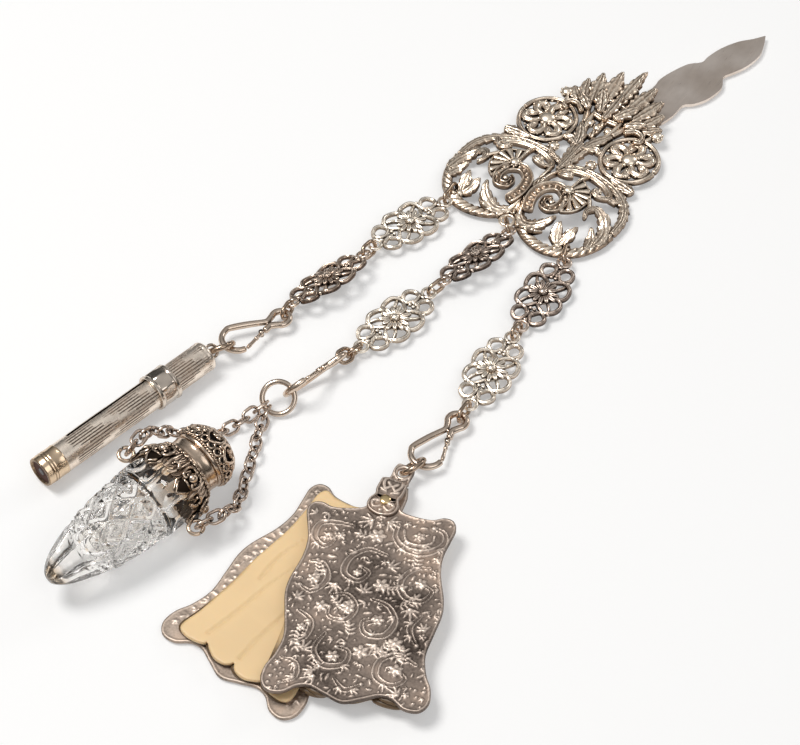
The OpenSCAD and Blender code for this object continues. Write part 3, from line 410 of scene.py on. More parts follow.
plaque = {
    "turn": -1.8, "at": (-0.4, 0), "lift": 1.52, "hub": (14.4, 21.6), "hubRadius": 8.3, "rowRadius": 6.9,
    "hubShape": (1, 1.04), "fan": (9.3, -2.2),
    "fanTips": [(11.5, 3.2), (14.2, 1.6), (15.6, -0.8), (15.9, -3.4), (15.4, -6), (13.8, -8.4), (11.6, -10)],
    "beads": [((9.3, -2.2), 1.5, 2.2), ((6.6, 13.6), 1.5, 1.5), ((8, -8.6), 0.9, 1.7), ((16.9, -18.2), 1.2, 1.4),
              ((5.2, 3.9), 1.3, 1.6), ((15.8, 33.6), 1.7, 1.8), ((15.6, 3), 1.2, 1.5), ((3, 27.4), 1.2, 1.6)],
    "half": [
        (leafy, (1.7, 2.6, 1.9), [(1.2, 9.2), (6, 10.9), (12, 10.9), (18, 9.4), (23, 5.8), (25.8, 0.8),
                                  (26.4, -5.5)], 0.1),
        (herring, (2, 2.8, 2), [(26.4, -5.5), (25.4, -11.5), (22.3, -17), (17.5, -20.3), (12.5, -21.2), (7.5, -20),
                                (3.5, -17.4), (1, -13.8), (0.4, -9)], 0.1),
        (grooved, (1.5, 1.9, 1.6), [(6.8, 3.9), (5.4, 3), (3.2, 3), (1.9, 4.9), (2.9, 7.2), (6, 8.5), (10.5, 8.7),
                                    (15, 7.8), (18, 5.8), (18.5, 3.2), (16.9, 1.4), (15, 2.1), (15.3, 3.8)], 0.5),
        (channel, (3, 3, 1.4), [(3.4, -14.2), (1.9, -9.5), (2.8, -5), (6.3, -2.6), (9.9, -4.6), (10.6, -8.6),
                                (8.8, -11.4), (6.2, -10.8), (5.9, -8.4), (7.6, -7.4)], 0.8),
        (arch, (1, 1.6, 2), [(0.6, -1.5), (0.7, -6), (1, -11), (1.9, -15.5), (4, -19)], 0.2),
        (leafy, (1.8, 3.8, 0.6), [(1.2, -14.8), (4.5, -17.2), (8, -16.8), (10.8, -14.5), (11.8, -11.8)], 0.3),
        (arch, (1.2, 1.8, 0.5), [(3.5, -18.2), (7.5, -18.7), (11, -17.2)], 0.3),
        (leafy, (1.6, 3.2, 0.4), [(16.9, -18.2), (17.8, -14.5), (18.7, -10.8)], 0.4),
        (leafy, (1.6, 3.2, 0.4), [(16.6, -18.3), (14.7, -15.8), (14, -12.4)], 0.4),
        (arch, (1.6, 1.5, 1.5), [(17, -20.4), (16.9, -18.9), (16.8, -17.8)], 0.2),
        (leafy, (3, 3, 0.8), [(25.3, -12), (24.8, -7), (22.3, -3.2), (19.2, -2.9), (17.7, -5.2), (18.6, -7.9)], 0.5),
        (leafy, (1.4, 3.2, 0.6), [(24.2, -15), (23.4, -11), (21.2, -8)], 0.3),
        (leafy, (1.2, 2.2, 0.8), [(18.4, 3), (20.6, 5.6), (21.8, 7)], 0.3),
        (arch, (1.6, 1.2, 1.6), [(15.6, -1), (17.2, -3.2), (18.2, -4.6)], 0.1),
        (arch, (1.2, 1.2, 1.2), [(9.6, 8.6), (9.3, 3), (9.3, -2)], 0.1),
        (arch, (1.4, 1.2, 1.4), [(1.9, 5), (0.9, 2), (0.5, -2)], 0.3),
        (arch, (1.2, 1.4, 1.2), [(10.2, -6), (11.6, -4.4), (12.5, -4)], 0.1),
        (leafy, (2.6, 2.6, 1.6), [(0.4, 8), (0.9, 14), (2.1, 20), (4.6, 24.6)], 0.3),
        (leafy, (1.4, 3.4, 0.6), [(1.2, 17), (2.6, 21.5), (5.6, 26.4)], 0.7),
        (grooved, (1.4, 1.5, 1.8), [(2.2, 10), (5.5, 9.4), (6.6, 12.4), (6.6, 14.5)], 0.3),
        (leafy, (2.4, 3.6, 0.8), [(22.4, 11.2), (18.5, 11.9), (13.8, 12.2)], 0.4),
        (leafy, (1.6, 2.6, 1), [(1.6, 17.5), (4.2, 19.4), (6.6, 18.2)], 0.5),
        (leafy, (2, 4.2, 0.3), [(9.4, 32.6), (11.6, 37.4), (13.4, 41.6)], 0.9),
        (leafy, (2.2, 4.8, 0.3), [(6.8, 33.6), (8.8, 40), (10.6, 45.4)], 1.3),
        (leafy, (2.2, 4.8, 0.3), [(3.6, 35), (4.9, 42), (6, 49)], 0.9),
        (leafy, (1.8, 3.8, 0.3), [(11, 32.6), (13.6, 35), (15.6, 37)], 0.5),
        (leafy, (1.8, 4, 0.3), [(2.2, 31), (4.6, 35.6), (7.2, 39.4)], 2.2),
        (leafy, (1.6, 3.4, 0.3), [(6.2, 30.6), (9.6, 33.4), (12.2, 34.6)], 1.9),
        (grooved, (1.6, 1.5, 1.3), [(7.4, 29), (10, 31), (12.6, 30.6), (13.4, 28.4), (11.6, 27.6)], 1.5),
        (leafy, (1.4, 2.4, 1.4), [(5.8, 40), (8.4, 40.8), (11.5, 39.4), (12.8, 36.2), (11.2, 33.4), (8.6, 34)], 0.2),
        (grooved, (1.6, 2, 1.6), [(4.8, 26.5), (6.4, 30.6), (9, 33.6)], 0.4),
        (arch, (1.6, 1.4, 1.6), [(13.6, 30), (14.6, 32), (15.4, 34.4)], 0.2),
        (arch, (1.4, 1.2, 1.4), [(11.2, 33.8), (12.6, 31.8), (12.4, 29.6)], 0.2),
        (arch, (1.8, 1.8, 1.8), [(3.4, 24), (4.2, 29), (4.4, 34)], 0.2)],
    "middle": [
        (leafy, (2.4, 5, 0.4), [(0, 34), (0, 43), (0, 52.6)], 1.2),
        (leafy, (2, 4.4, 0.4), [(0, 29), (0, 34), (0, 40.4)], 2.6),
        (herring, (1.8, 2.6, 1.8), [(0, 22), (0, 29), (0, 36)], 0.8),
        (herring, (2, 1.6, 2.2), [(0, -1.5), (0, -9), (0, -16.4)], 0.7),
        (grooved, (2, 2.4, 2), [(-3.6, 36.2), (0, 36.6), (3.6, 36.2)], 1.2),
        (grooved, (1.8, 2, 1.8), [(-4.2, 30.6), (0, 30.2), (4.2, 30.6)], 1.0),
        (leafy, (2.2, 2.4, 2.2), [(0, 6), (0, 12), (0, 19)], 0.8)]}

def plaqueHeight(p):
    return plaque["lift"] + swell(np.atleast_2d(p))


def plaqueStroke(shape, side, section, widths, points, over, tall=1.2, across=13):
    strap(shape, np.array(points, float) * (side, 1), widths, lambda p: plaqueHeight(p) + over * 0.5, tall,
          section=section, across=across)


def halfPlaque(shape, side):
    stroke = lambda *values: plaqueStroke(shape, side, *values)
    for section, widths, points, over in plaque["half"]:
        wide = 1.3 if section in (leafy, herring) else 1.15
        stroke(section, np.array(widths) * wide, points, over, 1.15 + over * 0.5)
    fan = np.array(plaque["fan"])
    for tip in plaque["fanTips"]:
        stroke(arch, (0.9, 1.5, 2.5), [fan, (fan + tip) / 2, tip], 0.7, 0.9, 9)
    stroke(arch, (0.7, 0.8, 0.7), [(9, 5), *plaque["fanTips"]], 0.5, 1.2, 7)
    hub, stretch = np.array(plaque["hub"]), plaque["hubShape"]
    stroke(grooved, (1.5, 1.5, 1.5), [hub + polar(plaque["hubRadius"], a) * stretch for a in range(0, 361, 15)],
           0.3, 1.0)
    for a in range(20, 361, 15):  # a row of small pellets inside the rim
        p = (hub + polar(plaque["rowRadius"], a) * stretch) * (side, 1)
        shape.ball(lay(p, plaqueHeight(p)[0] + 1.3), 0.42, sides=8, rings=4)
    for a in range(20, 361, 60):
        spoke = [hub + polar(r, a + b) for r, b in ((1.8, 0), (4.6, -4), (6.6, 12), (6.3, 32), (4.8, 37), (4.3, 26))]
        stroke(grooved, (2, 2.9, 1.6), spoke, 0.3 + 0.2 * (a // 60 % 2), 1.1)
        stroke(leafy, (1.4, 3, 0.5), [hub + polar(r, a + b) for r, b in ((3, -16), (5, -26), (7.4, -22))], 0.1)
    for p, r, up in [*plaque["beads"], (plaque["hub"], 2.6, 1.5)]:
        p = np.array(p) * (side, 1)
        z = plaqueHeight(p)[0]
        shape.tube([lay(p, z + 0.3), lay(p, z + up - r * 0.2)], r, sides=16)
        shape.ball(lay(p, z + up - r * 0.2), r, flat=0.62, sides=20, rings=9)
        for a in range(0, 360, 45):
            shape.ball(lay(p + polar(r * 1.02, a), z + up * 0.8), r * 0.27, sides=8, rings=4)


def makePlaque():
    shape = Shape()
    for side in (1, -1):
        halfPlaque(shape, side)
    for section, widths, points, over in plaque["middle"]:
        plaqueStroke(shape, 1, section, widths, points, over, 1.15 + over * 0.5)
    shape.tube(hoop((0, -18.6, plaque["lift"] + 0.75), 2.05, 24, (0, 1, 0), (1, 0, 0)), 0.55, closed=True)
    # four curls between the crown and the stem
    for x, y, r, z in ((2.6, 31.6, 1.1, 1.8), (-2.6, 31.6, 1.1, 1.8), (0, 33.4, 1.4, 2.2), (0, 26.2, 1.3, 2)):
        shape.ball((x, y, plaqueHeight((x, y))[0] + z), r, flat=0.7, sides=16, rings=8)
    shape.placed(lambda p: turned(p, plaque["turn"]) + lay(plaque["at"], 0))
    shape.make("Plaque", "cast", nodes=["plaque"], slot="cast_silver")


makePlaque()
print("plaque made")


# the strands: where each ring and link runs, as in the drawing
strands = {  # length, where -1 is a link's, turn, roll and height of the lower end
    "l": [(7.5, 8.5, 71, 2.75), (-1, -13.5, 0, 3.3), (5.6, 1, 65, 4.2), (-1, -11.5, -25, 3.9), (5.3, 8, 79, 3.5)],
    "m": [(6, 36, 72, 3.9), (-1, -8.4, -25, 4.2), (5.6, -15, 85, 3.2), (-1, -8.7, 0, 2.6), (4.9, -11, 104, 3)],
    "r": [(6.8, 23, 74, 2.7), (-1, 6.5, 0, 2.4), (5, 5, 72, 2.5), (-1, 8.6, 0, 2.6), (6.2, 6, 80, 2.9)]}
linkLength, ringWidth, ringWire = 26.2, 3.7, 1.0


def walk(name, start, height):
    at = turned(start, plaque["turn"]) + plaque["at"]
    way = [lay(at, height)]
    for length, turn, _, z in strands[name]:
        at = at + ahead(turn) * (linkLength if length < 0 else length)
        way.append(lay(at, z))
    return way


ways = {"l": walk("l", (-19.5, -16.4), 2.27), "m": walk("m", (0, -18.6), 1.67), "r": walk("r", (19.4, -16.4), 2.27)}


def ovalRing(name, a, b, width, wire, roll):
    length = max(np.linalg.norm(b - a), width + 0.01)
    shape, put = Shape(), between(a, b, roll)
    path = put(oval(width, length, 17))
    shape.tube(path, wire / 2 * (1.14 + 0.03 * np.sin(np.arange(len(path)) * 1.7)), sides=14, closed=True)
    # the soldered joint, a slightly thicker place on one side
    straight = length - width
    ends = [(width / 2, -width / 2 - straight * share - extra, 0) for share, extra in ((0.4, 0), (0.6, 0.5))]
    shape.tube(put(ends), wire * 0.55)
    shape.make(name, "ring", nodes=[name.lower()], slot="wire_silver")


linkPlan = {
    "end": [(0.6, 6.9), (0.55, 9), (1.3, 10.7), (2.9, 11), (4.4, 9.8), (4.5, 7.9), (3.2, 6.4), (1.4, 5.2), (-0.4, 3.4)],
    "side": [(0.6, 8.6), (1.9, 6.6), (4.1, 6), (5.9, 4.6), (6.25, 2.2), (5.4, 0.4), (3.8, 0.4), (2.2, 2)],
    "cross": [(2.4, 2.2), (3.8, 4), (4.5, 5.6)], "petals": 13, "eye": 1.78}


def makeLink(name, a, b, roll, finish):
    shape = Shape()
    for s, t in ((-1, -1), (-1, 1), (1, -1), (1, 1)):
        for key, widths, rate, phase, section, tall, across in (
                ("end", (1.1, 1.25, 1.1), 0.33, 0.8 * s, grooved, 0.85, 11),
                ("side", (1.1, 1.3, 1.1), 0.28, 2.6, grooved, 0.9, 11), ("cross", (0.9, 1, 0.9), 0.4, 0, arch, 0.8, 9)):
            strap(shape, np.array(linkPlan[key]) * (s, t), widths,
                  lambda p: -0.55 + 0.2 * np.sin(np.arange(len(p)) * rate + phase), tall, section=section, step=0.34,
                  across=across)
        for x, y, r in ((0.6, 6.4, 0.6), (4.6, 6.3, 0.55)):
            shape.ball((x * s, y * t, 0.2), r, rings=7)
    shape.tube([(0, 0, -0.75), (0, 0, 0.1)], 3.3, sides=32)
    for k in range(linkPlan["petals"]):  # petals, then the boss and its dots
        petal = [turned((r, 0), 360 * k / linkPlan["petals"] + 8) for r in (1.0, 2.8, (4.6, 4.1)[k % 2])]
        strap(shape, petal, (0.55, 1.65, 1.15), lambda p: np.full(len(p), 0.38 + 0.16 * (k % 2)), 0.6, 0.2,
              lambda u, s: arch(u) - 0.5 * ridge(u, 0, 0.2), 0.28, 9)
    shape.ball((0, 0, 0.85), 1.35, flat=0.75, sides=20, rings=9)
    for p in hoop((0, 0, 1.5), 0.95, 8):
        shape.ball(p, 0.28, sides=8, rings=5)
    for s in (-1, 1):
        y = s * linkLength / 2
        shape.tube(hoop((0, y, 0), linkPlan["eye"], 24), 0.5, closed=True)
        shape.tube([(0, y - s * 1.8, 0), (0, y - s * 2.9, 0)], 0.75)
    place = between(a, b, roll)
    shape.placed(lambda p: place(p - (0, linkLength / 2, 0)))
    shape.make(name, finish, nodes=[name.lower()], slot="cast_silver")


tones = {"l": ("castBright", "rust"), "m": ("castDark", "castBright"), "r": ("castDark", "castBright")}
for key, way in ways.items():
    for i in range(3):
        ovalRing(f"Ring_{key}{i + 1}", way[2 * i], way[2 * i + 1], ringWidth, ringWire, strands[key][2 * i][2])
    for i in range(2):
        makeLink(f"Link_{key}{i + 1}", way[2 * i + 1], way[2 * i + 2], strands[key][2 * i + 1][2], tones[key][i])
print("strands made")


# the spring hooks
def step(p, angle, length, rise):
    return p + lay(ahead(angle) * length, rise)


def hang(p, aside, reach, height):  # the lower end of a ring from p: so far away, and so much to one side
    return np.array([p[0] - aside, p[1] - sqrt(reach ** 2 - aside ** 2 - (height - p[2]) ** 2), height])


clip = {"wire": 1.6, "length": 17.8, "width": 8.7, "eye": 2.5, "waist": 0.92, "hinge": (1.9, -7.2, 0)}
clip["bend"] = clip["length"] - clip["width"] / 2
drop = clip["eye"] - clip["wire"] / 2 - ringWire / 2 - 0.5
eyeL, eyeR = step(ways["l"][5], -21, drop, 0), step(ways["r"][5], 0, drop, 0)
extraFrom = step(ways["m"][5], -11, -1.35, 0.1)
extraTo = step(extraFrom, -11, 4.7, 0.9)
eyeM = step(extraTo, -10, drop, 0.3)
bendL, bendM, bendR = [step(p, angle, clip["length"], rise)
                       for p, angle, rise in ((eyeL, -21, 0.25), (eyeM, -10, 1.3), (eyeR, 0, 0.25))]
ovalRing("Ring_m4", extraFrom, extraTo, ringWidth, ringWire, 28)


def makeClip(key, body, eye, low, roll, finish):
    r, waist, bend = clip["width"] / 2, clip["waist"], clip["bend"]
    around = [polar(clip["eye"], a) for a in np.arange(-45, 226, 22.5)]
    hook = [polar(r, a) - (0, bend) for a in range(180, 361, 20)]
    middle = ((-1.3 - r) / 2, (-5 + 1 - bend) / 2)
    points = [(1.75, -6.2), (1.3, -5), (waist, -3.7), *around, (-waist, -3.7), (-1.3, -5), middle, *hook]
    path, s = evenPath([lay(p, 0) for p in points], 0.3, 5)
    thick = clip["wire"] / 2 * (1.14 + 0.05 * np.sin(s * 0.55))
    thick *= clamp(0.6 + np.minimum(s, s[-1] - s) / 0.8)
    wire, gate, place = Shape(), Shape(), between(eye, low, roll)
    wire.tube(place(path), thick, sides=16)
    wire.tube(place([(-waist - 0.75, -4.1, 0), (waist + 0.75, -4.1, 0)]), 0.55)
    wire.make(f"Clip_{key}", finish, nodes=[f"clip_{key}"], slot="hook_silver")
    a, b = np.array(clip["hinge"]), np.array([r - 0.05, 0.5 - bend, 0])
    gate.tube(place([a - (0, 0, 0.85), a + (0, 0, 0.85)]), 0.75, sides=18)
    bar, s = evenPath([a, a + (b - a) * 0.3, a + (b - a) * 0.7, b], 0.2)
    gate.tube(place(bar), 0.5 + 0.1 * ridge(s, s[-1] - 0.9, 0.5) + 0.12 * (np.abs(s - 2.2) < 0.35), sides=14)
    gate.make(f"Gate_{key}", finish, body=body, nodes=[f"gate_{key}"], slot="hook_silver")


makeClip("l", "gate_left", eyeL, bendL, 0, "wire")
makeClip("m", "gate_middle", eyeM, bendM, -60, "rust")
makeClip("r", "gate_right", eyeR, bendR, 0, "wire")
ringIn = clip["wire"] / 2 + 0.75 + 0.25  # half the next ring's wire and some play
fromL, fromM, fromR = step(bendL, -21, -ringIn, -0.85), step(bendM, -10, -ringIn, 0), step(bendR, 0, -ringIn, 0)
print("hooks made")


# the pencil
pencil = {"length": 56.5, "radius": 4.2, "lugOut": 1.9, "bowRoll": 47, "band": 12.6, "bandLength": 6.6, "slotFrom": 13.8,
          "slotTo": 45.2, "slotAt": radians(122), "slotHalf": 0.62, "ferrule": 50, "turn": -10, "lines": 32, "bore": 3.5}
lugAt = hang(fromL, 1.1, 6.8, 5.2)
pencilTop = step(lugAt, pencil["turn"], pencil["lugOut"], 0)
ovalRing("Bow_pencil", fromL, lugAt, 7, 1.5, -pencil["bowRoll"])


def penPlace(p):
    x, y = polar(1, pencil["turn"])
    return pencilTop + np.asarray(p, float) @ np.array([[x, y, 0], [0, 0, 1], [y, -x, 0]])


def makePencil():
    shape, inner = Shape(), pencil["bore"]

    def wall(radius, heights, around, crest):  # a round wall, open along the slot
        slot = ((np.abs(around - pencil["slotAt"]) < pencil["slotHalf"] / pencil["radius"])
                & (heights > pencil["slotFrom"]) & (heights < pencil["slotTo"]))
        shape.add(about(radius, around, heights), quads(*heights.shape)[:-1][~slot[:-1]].tolist(), crest)

    z = np.linspace(0, pencil["ferrule"], 124)
    zz, aa = np.meshgrid(z, angles(320), indexing="ij")
    # engine-turned lines, with plain flames between them that zigzag round the sleeve
    line = aa * pencil["lines"] / (2 * pi) + 0.5
    flame = ((zz - 2.16 * np.abs(np.floor(line) % 8 - 4)) / 15.5 + 0.28) % 1
    plain = (flame < 0.36) | (zz < 1.6) | (zz > 47)
    lines = np.where(plain, 0.85, np.abs(np.sin(line * pi)) ** 0.55)
    r = pencil["radius"] - 0.2 + 0.2 * lines + 0.14 * ridge(zz, 0.7, 0.4) + 0.08 * ridge(zz, 1.9, 0.3)
    wall(np.where(zz < 0.5, r - 0.5 * (0.5 - zz), r), zz, aa, np.where(plain, 0.95, lines * 1.7 - 0.8))
    shape.faces.append(list(range(320)))
    # the bore and the slot's two walls
    wall(inner, *np.meshgrid(np.linspace(1.2, pencil["length"], 60), angles(96), indexing="ij"), -0.6)
    zs = z[(z > pencil["slotFrom"]) & (z < pencil["slotTo"] + 0.3)]
    for s in (-1, 1):
        edge = pencil["slotAt"] - s * (pencil["slotHalf"] + 0.01) / pencil["radius"]
        shape.grid(about(np.array([4.1, inner]), edge, zs[:, None]), -0.5)
    shape.placed(penPlace).make("PencilSleeve", "pencil", nodes=["pencil_sleeve"], slot="turned_silver")
    ferrule, at = Shape(), pencil["ferrule"]
    profile = [(4.0, -0.1), (4.24, 0), (4.3, 0.3), (4.22, 0.6), (4.2, 2.6), (4.28, 3), (4.28, 3.3), (4.16, 3.5),
               (4.28, 3.7), (4.28, 4.1), (4.16, 4.3), (4.28, 4.5), (4.28, 4.9), (4.2, 5.1), (4.2, 6.1), (4.05, 6.5),
               (inner, 6.5), (inner, 0)]
    ferrule.grid(lathe([(r, at + h) for r, h in profile], 80), [[0.9 if r > 4.18 else 0.1] * 80 for r, _ in profile],
                 wrap=True, ring=True)
    ferrule.placed(penPlace).make("PencilFerrule", "brass", slot="turned_silver")
    lug, (c, s) = Shape(), polar(1, pencil["bowRoll"])
    lug.tube(hoop((0, 0, -pencil["lugOut"]), 1.75, 32, (0, 0, 1), (-s, c, 0)), 0.45, closed=True)
    lug.tube([(0, 0, 0.1), (0, 0, -0.5)], 1.2, sides=16)
    lug.placed(penPlace).make("PencilLug", "wire", slot="turned_silver")


def makeSlider():
    shape, z0, columns, start = Shape(), pencil["band"], 96, 0.2
    profile = [(4.42, 0), (4.95, 0.02), (5.08, 0.25), (4.95, 0.5), (5.08, 0.75), (4.98, 1.0), (4.7, 1.15)]
    facets = [(4.62, 1.4), (4.62, 3.3), (4.62, 5.2)]
    rings = lathe([(r, z0 + h) for r, h in profile + facets]
                  + [(r, z0 + pencil["bandLength"] - h) for r, h in reversed(profile)], columns, start)
    eighth = (angles(columns) + start) * 8 / (2 * pi) % 1 - 0.5
    rings[len(profile):len(profile) + len(facets), :, :2] /= np.cos(eighth * 2 * pi / 8)[:, None]
    shape.grid(rings, wrap=True, ring=True)
    shape.tube(about(np.array([3.4, 4.45]), pencil["slotAt"], z0 + 3.3), 0.42, sides=8)
    shape.placed(penPlace).make("PencilSlider", "bright", body="pencil", nodes=["pencil_slider"], slot="turned_silver")


# the scent bottle
bottle = {"turn": -9.5, "tilt": 2.5, "roll": 15, "length": 44.0, "radius": 10.9, "collar": 8.3, "skirt": 11.4,
          "capFrom": 49.0, "slide": 3.4, "capHeight": 9.2, "lugDepth": 7.4, "lugOut": 14.0,
          "tiers": 9.2, "tongueTop": 44.6, "mountDepth": 9.4,
          "cut": [(0, 0.12), (0.02, 0.25), (0.07, 0.42), (0.15, 0.58), (0.27, 0.75), (0.42, 0.88), (0.6, 0.96),
                  (0.75, 0.99), (0.88, 0.95), (0.96, 0.84), (1, 0.66)]}
bigWay, bigLength = np.array([-0.45, -0.827, -0.345]), 8.6  # the large ring that carries the bottle
toM = fromM + bigWay * bigLength
bottleAt = np.array([toM[0] + 4.3, toM[1] - 17.4])


def bottlePlace(p):
    whole, skirtAt = bottle["capFrom"] + bottle["capHeight"], bottle["length"] - bottle["mountDepth"]
    p = turned(p, bottle["roll"]) * (0.94, 0.94, 1) - (0, 0, whole + bottle["slide"])
    c, s = cos(radians(bottle["tilt"] - 90)), sin(radians(bottle["tilt"] - 90))
    q = turned(np.stack([p[..., 0], p[..., 1] * c - p[..., 2] * s, p[..., 1] * s + p[..., 2] * c], -1), bottle["turn"])
    return q + lay(bottleAt, bottle["skirt"] + 0.05 + (whole - skirtAt) * sin(radians(bottle["tilt"])))


def makeGlass():
    shape, columns, tier = Shape(), 240, bottle["tiers"]
    t = np.linspace(0, 1, 180) ** 1.1
    curve = smoothPath(np.array(bottle["cut"]), 8)
    zz, aa = np.meshgrid(t * bottle["length"], angles(columns), indexing="ij")
    wedge = lambda v: clamp(1 - np.abs(((v + 0.5) % 1) - 0.5) * 2)  # 1 on the line of a cut
    k = 8 * aa / (2 * pi)
    # long flutes at the tip, crossed cuts round the middle, a band of lenses under the mount
    tip = clamp((15 - zz) / 3)
    middle = clamp((zz - 12.5) / 2) * clamp((31 - zz) / 2)
    top = clamp((zz - 29.5) / 1.5)
    flute = -0.9 * np.abs(np.sin(pi * k)) ** 0.8 * np.clip(zz / 6, 0.2, 1)
    diamond = np.maximum(wedge(k + zz / tier), wedge(k - zz / tier))
    fine = np.maximum(wedge(3 * k + zz / 3.1), wedge(3 * k - zz / 3.1))
    star = np.maximum(wedge(k), wedge(zz / tier))
    cuts = (-1.0 * clamp(diamond * 2.6 - 1.6) - 0.42 * fine * (diamond < 0.62)
            - 0.5 * clamp(star * 4 - 3))
    lens = -0.9 * clamp(1 - (((k + 0.5) % 1 - 0.5) / 0.42) ** 2 - ((zz - 34) / 2.6) ** 2)
    rr = (np.interp(t, *curve.T) * bottle["radius"])[:, None] + tip * flute + middle * cuts + top * lens
    for at in (14.6, 30.4):
        rr = rr - 0.75 * clamp(1 - np.abs(zz - at) / 0.6)
    outer = about(rr, aa, zz)
    inner = lathe([(4.0, 44.0), (4.0, 30), (4.0, 16), (3.7, 13.2), (2.6, 11.8), (0.6, 11.2)], columns)
    # 1 near the mount and at the tip, where the glass turns browner
    brownEnds = clamp((zz - 33.5) / 4) + clamp((4 - zz) / 2.5)
    shape.grid(np.concatenate([outer, inner]), np.concatenate([brownEnds, 0 * inner[:, :, 0]]), wrap=True, caps=True)
    shape.placed(bottlePlace).make("BottleGlass", "glass", nodes=["bottle_glass"], slot="cut_glass")


def shoulder(depth):  # the mount's radius at a depth below the collar
    return np.interp(depth, (0, 1.5, 3.6, bottle["mountDepth"]), (bottle["collar"] + 0.7, 9.9, 11.0, 11.1))


def tongue(shape, angle, reach, width, middle):  # one hanging shell
    ss, uu = np.meshgrid(np.linspace(0, 1, 26), np.linspace(-1, 1, 19), indexing="ij")
    half = width / 2 * (0.75 + 0.35 * np.sin(ss * 3.0)) * np.clip((1.02 - ss) * 5, 0.02, 1) ** 0.5
    half = half * (1 + 0.1 * np.sin(ss * 20))
    radius = shoulder(ss * reach)
    rib = 0.28 * np.cos(uu * pi * 2.5) * (1 - 0.5 * ss) + 0.45 * arch(uu) + 0.2 * middle
    around = angle + half * uu / radius
    out = radius + 0.8 * rib - 0.25 + 0.75 * clamp(ss - 0.8) * middle
    top, low = [about(r, around, bottle["tongueTop"] - ss * reach) for r in (out, radius - 0.3)]
    shape.grid(np.concatenate([top, low[:, ::-1]], 1), np.concatenate([0.4 + rib, 0 * rib], 1), wrap=True, caps=True)


def cartouche(shape, angle):  # a boss, two scrolls and a dark shield on a middle tongue
    def out(q, depth, up):
        r = shoulder(depth) + up
        return about(r, angle + q / r, bottle["tongueTop"] - depth)

    shape.ball(out(0, 3.1, 0.7), 1.35, sides=16, rings=9)
    scroll = ((0.4, 1.0), (1.9, 1.1), (2.9, 2.4), (2.7, 4.2), (1.7, 4.7), (1.2, 3.9), (1.8, 3.4))
    for s in (-1, 1):
        shape.tube(evenPath([out(s * q, depth, 0.75) for q, depth in scroll], 0.25)[0], 0.4, sides=8)
    edge = [(-2.1, 5.3), (0, 5.0), (2.1, 5.3), (1.9, 7.0), (0, 8.8), (-1.9, 7.0)]
    shape.tube([out(q, depth, 0.8) for q, depth in edge], 0.36, sides=8, closed=True)
    shape.grid(np.array([[out(h * q, depth, 0.78) for q in np.linspace(-1, 1, 7)] for depth, h in
                         ((5.3, 2.0), (6.2, 1.95), (7.0, 1.85), (7.9, 0.95), (8.6, 0.15))]), -1.1)


def makeMount():
    shape, long, c = Shape(), bottle["length"], bottle["collar"]
    profile = [(5.2 - c, 0.2), (0.7, 0.2), (1.0, 0.7), (0.7, 1.2), (0.1, 1.5), (0, 2.0), (0.12, 2.3), (0, 2.6),
               (0, 4.1), (0.1, 4.35), (0, 4.6), (-0.1, 4.82), (-0.9, 4.85), (-0.9, 9), (5.2 - c, 9)]
    shape.grid(lathe([(c + r, long + z) for r, z in profile], 144), wrap=True, ring=True)
    for p in hoop((0, 0, long + 0.75), c + 1.0, 40):  # the beaded border
        shape.ball(p, 0.52, sides=10)
    for middle in range(0, 360, 60):  # hanging shells, with a scroll between them
        for d, reach, width in ((-21, 6.6, 3.6), (0, 8.9, 5.0), (21, 6.6, 3.6)):
            tongue(shape, radians(middle + d), reach, width, d == 0)
            if d == 0:
                cartouche(shape, radians(middle))
        path, _ = evenPath([about(11.35, radians(middle + 30) + q / 11.3, long - 3.6 - z) for q, z in
                            ((0, 2.6), (1.2, 1.8), (1.6, 0.4), (0.7, -0.7), (-0.5, -0.3), (-0.4, 0.6))], 0.25)
        shape.tube(path, np.linspace(0.55, 0.4, len(path)), sides=8)
    for s in (-1, 1):  # the lugs that the chains hold
        mid = np.array([s * bottle["lugOut"], 0, long - bottle["lugDepth"]])
        shape.tube(hoop(mid, 1.95, 32, (1, 0, 0), (0, 0, 1)), 0.55, closed=True)
        shape.tube([mid - (s * 1.8, 0, 0), mid - (s * 3.0, 0, 0)], 0.9)
    shape.placed(bottlePlace).make("BottleMount", "gilt", nodes=["bottle_mount"], slot="gilt_silver")


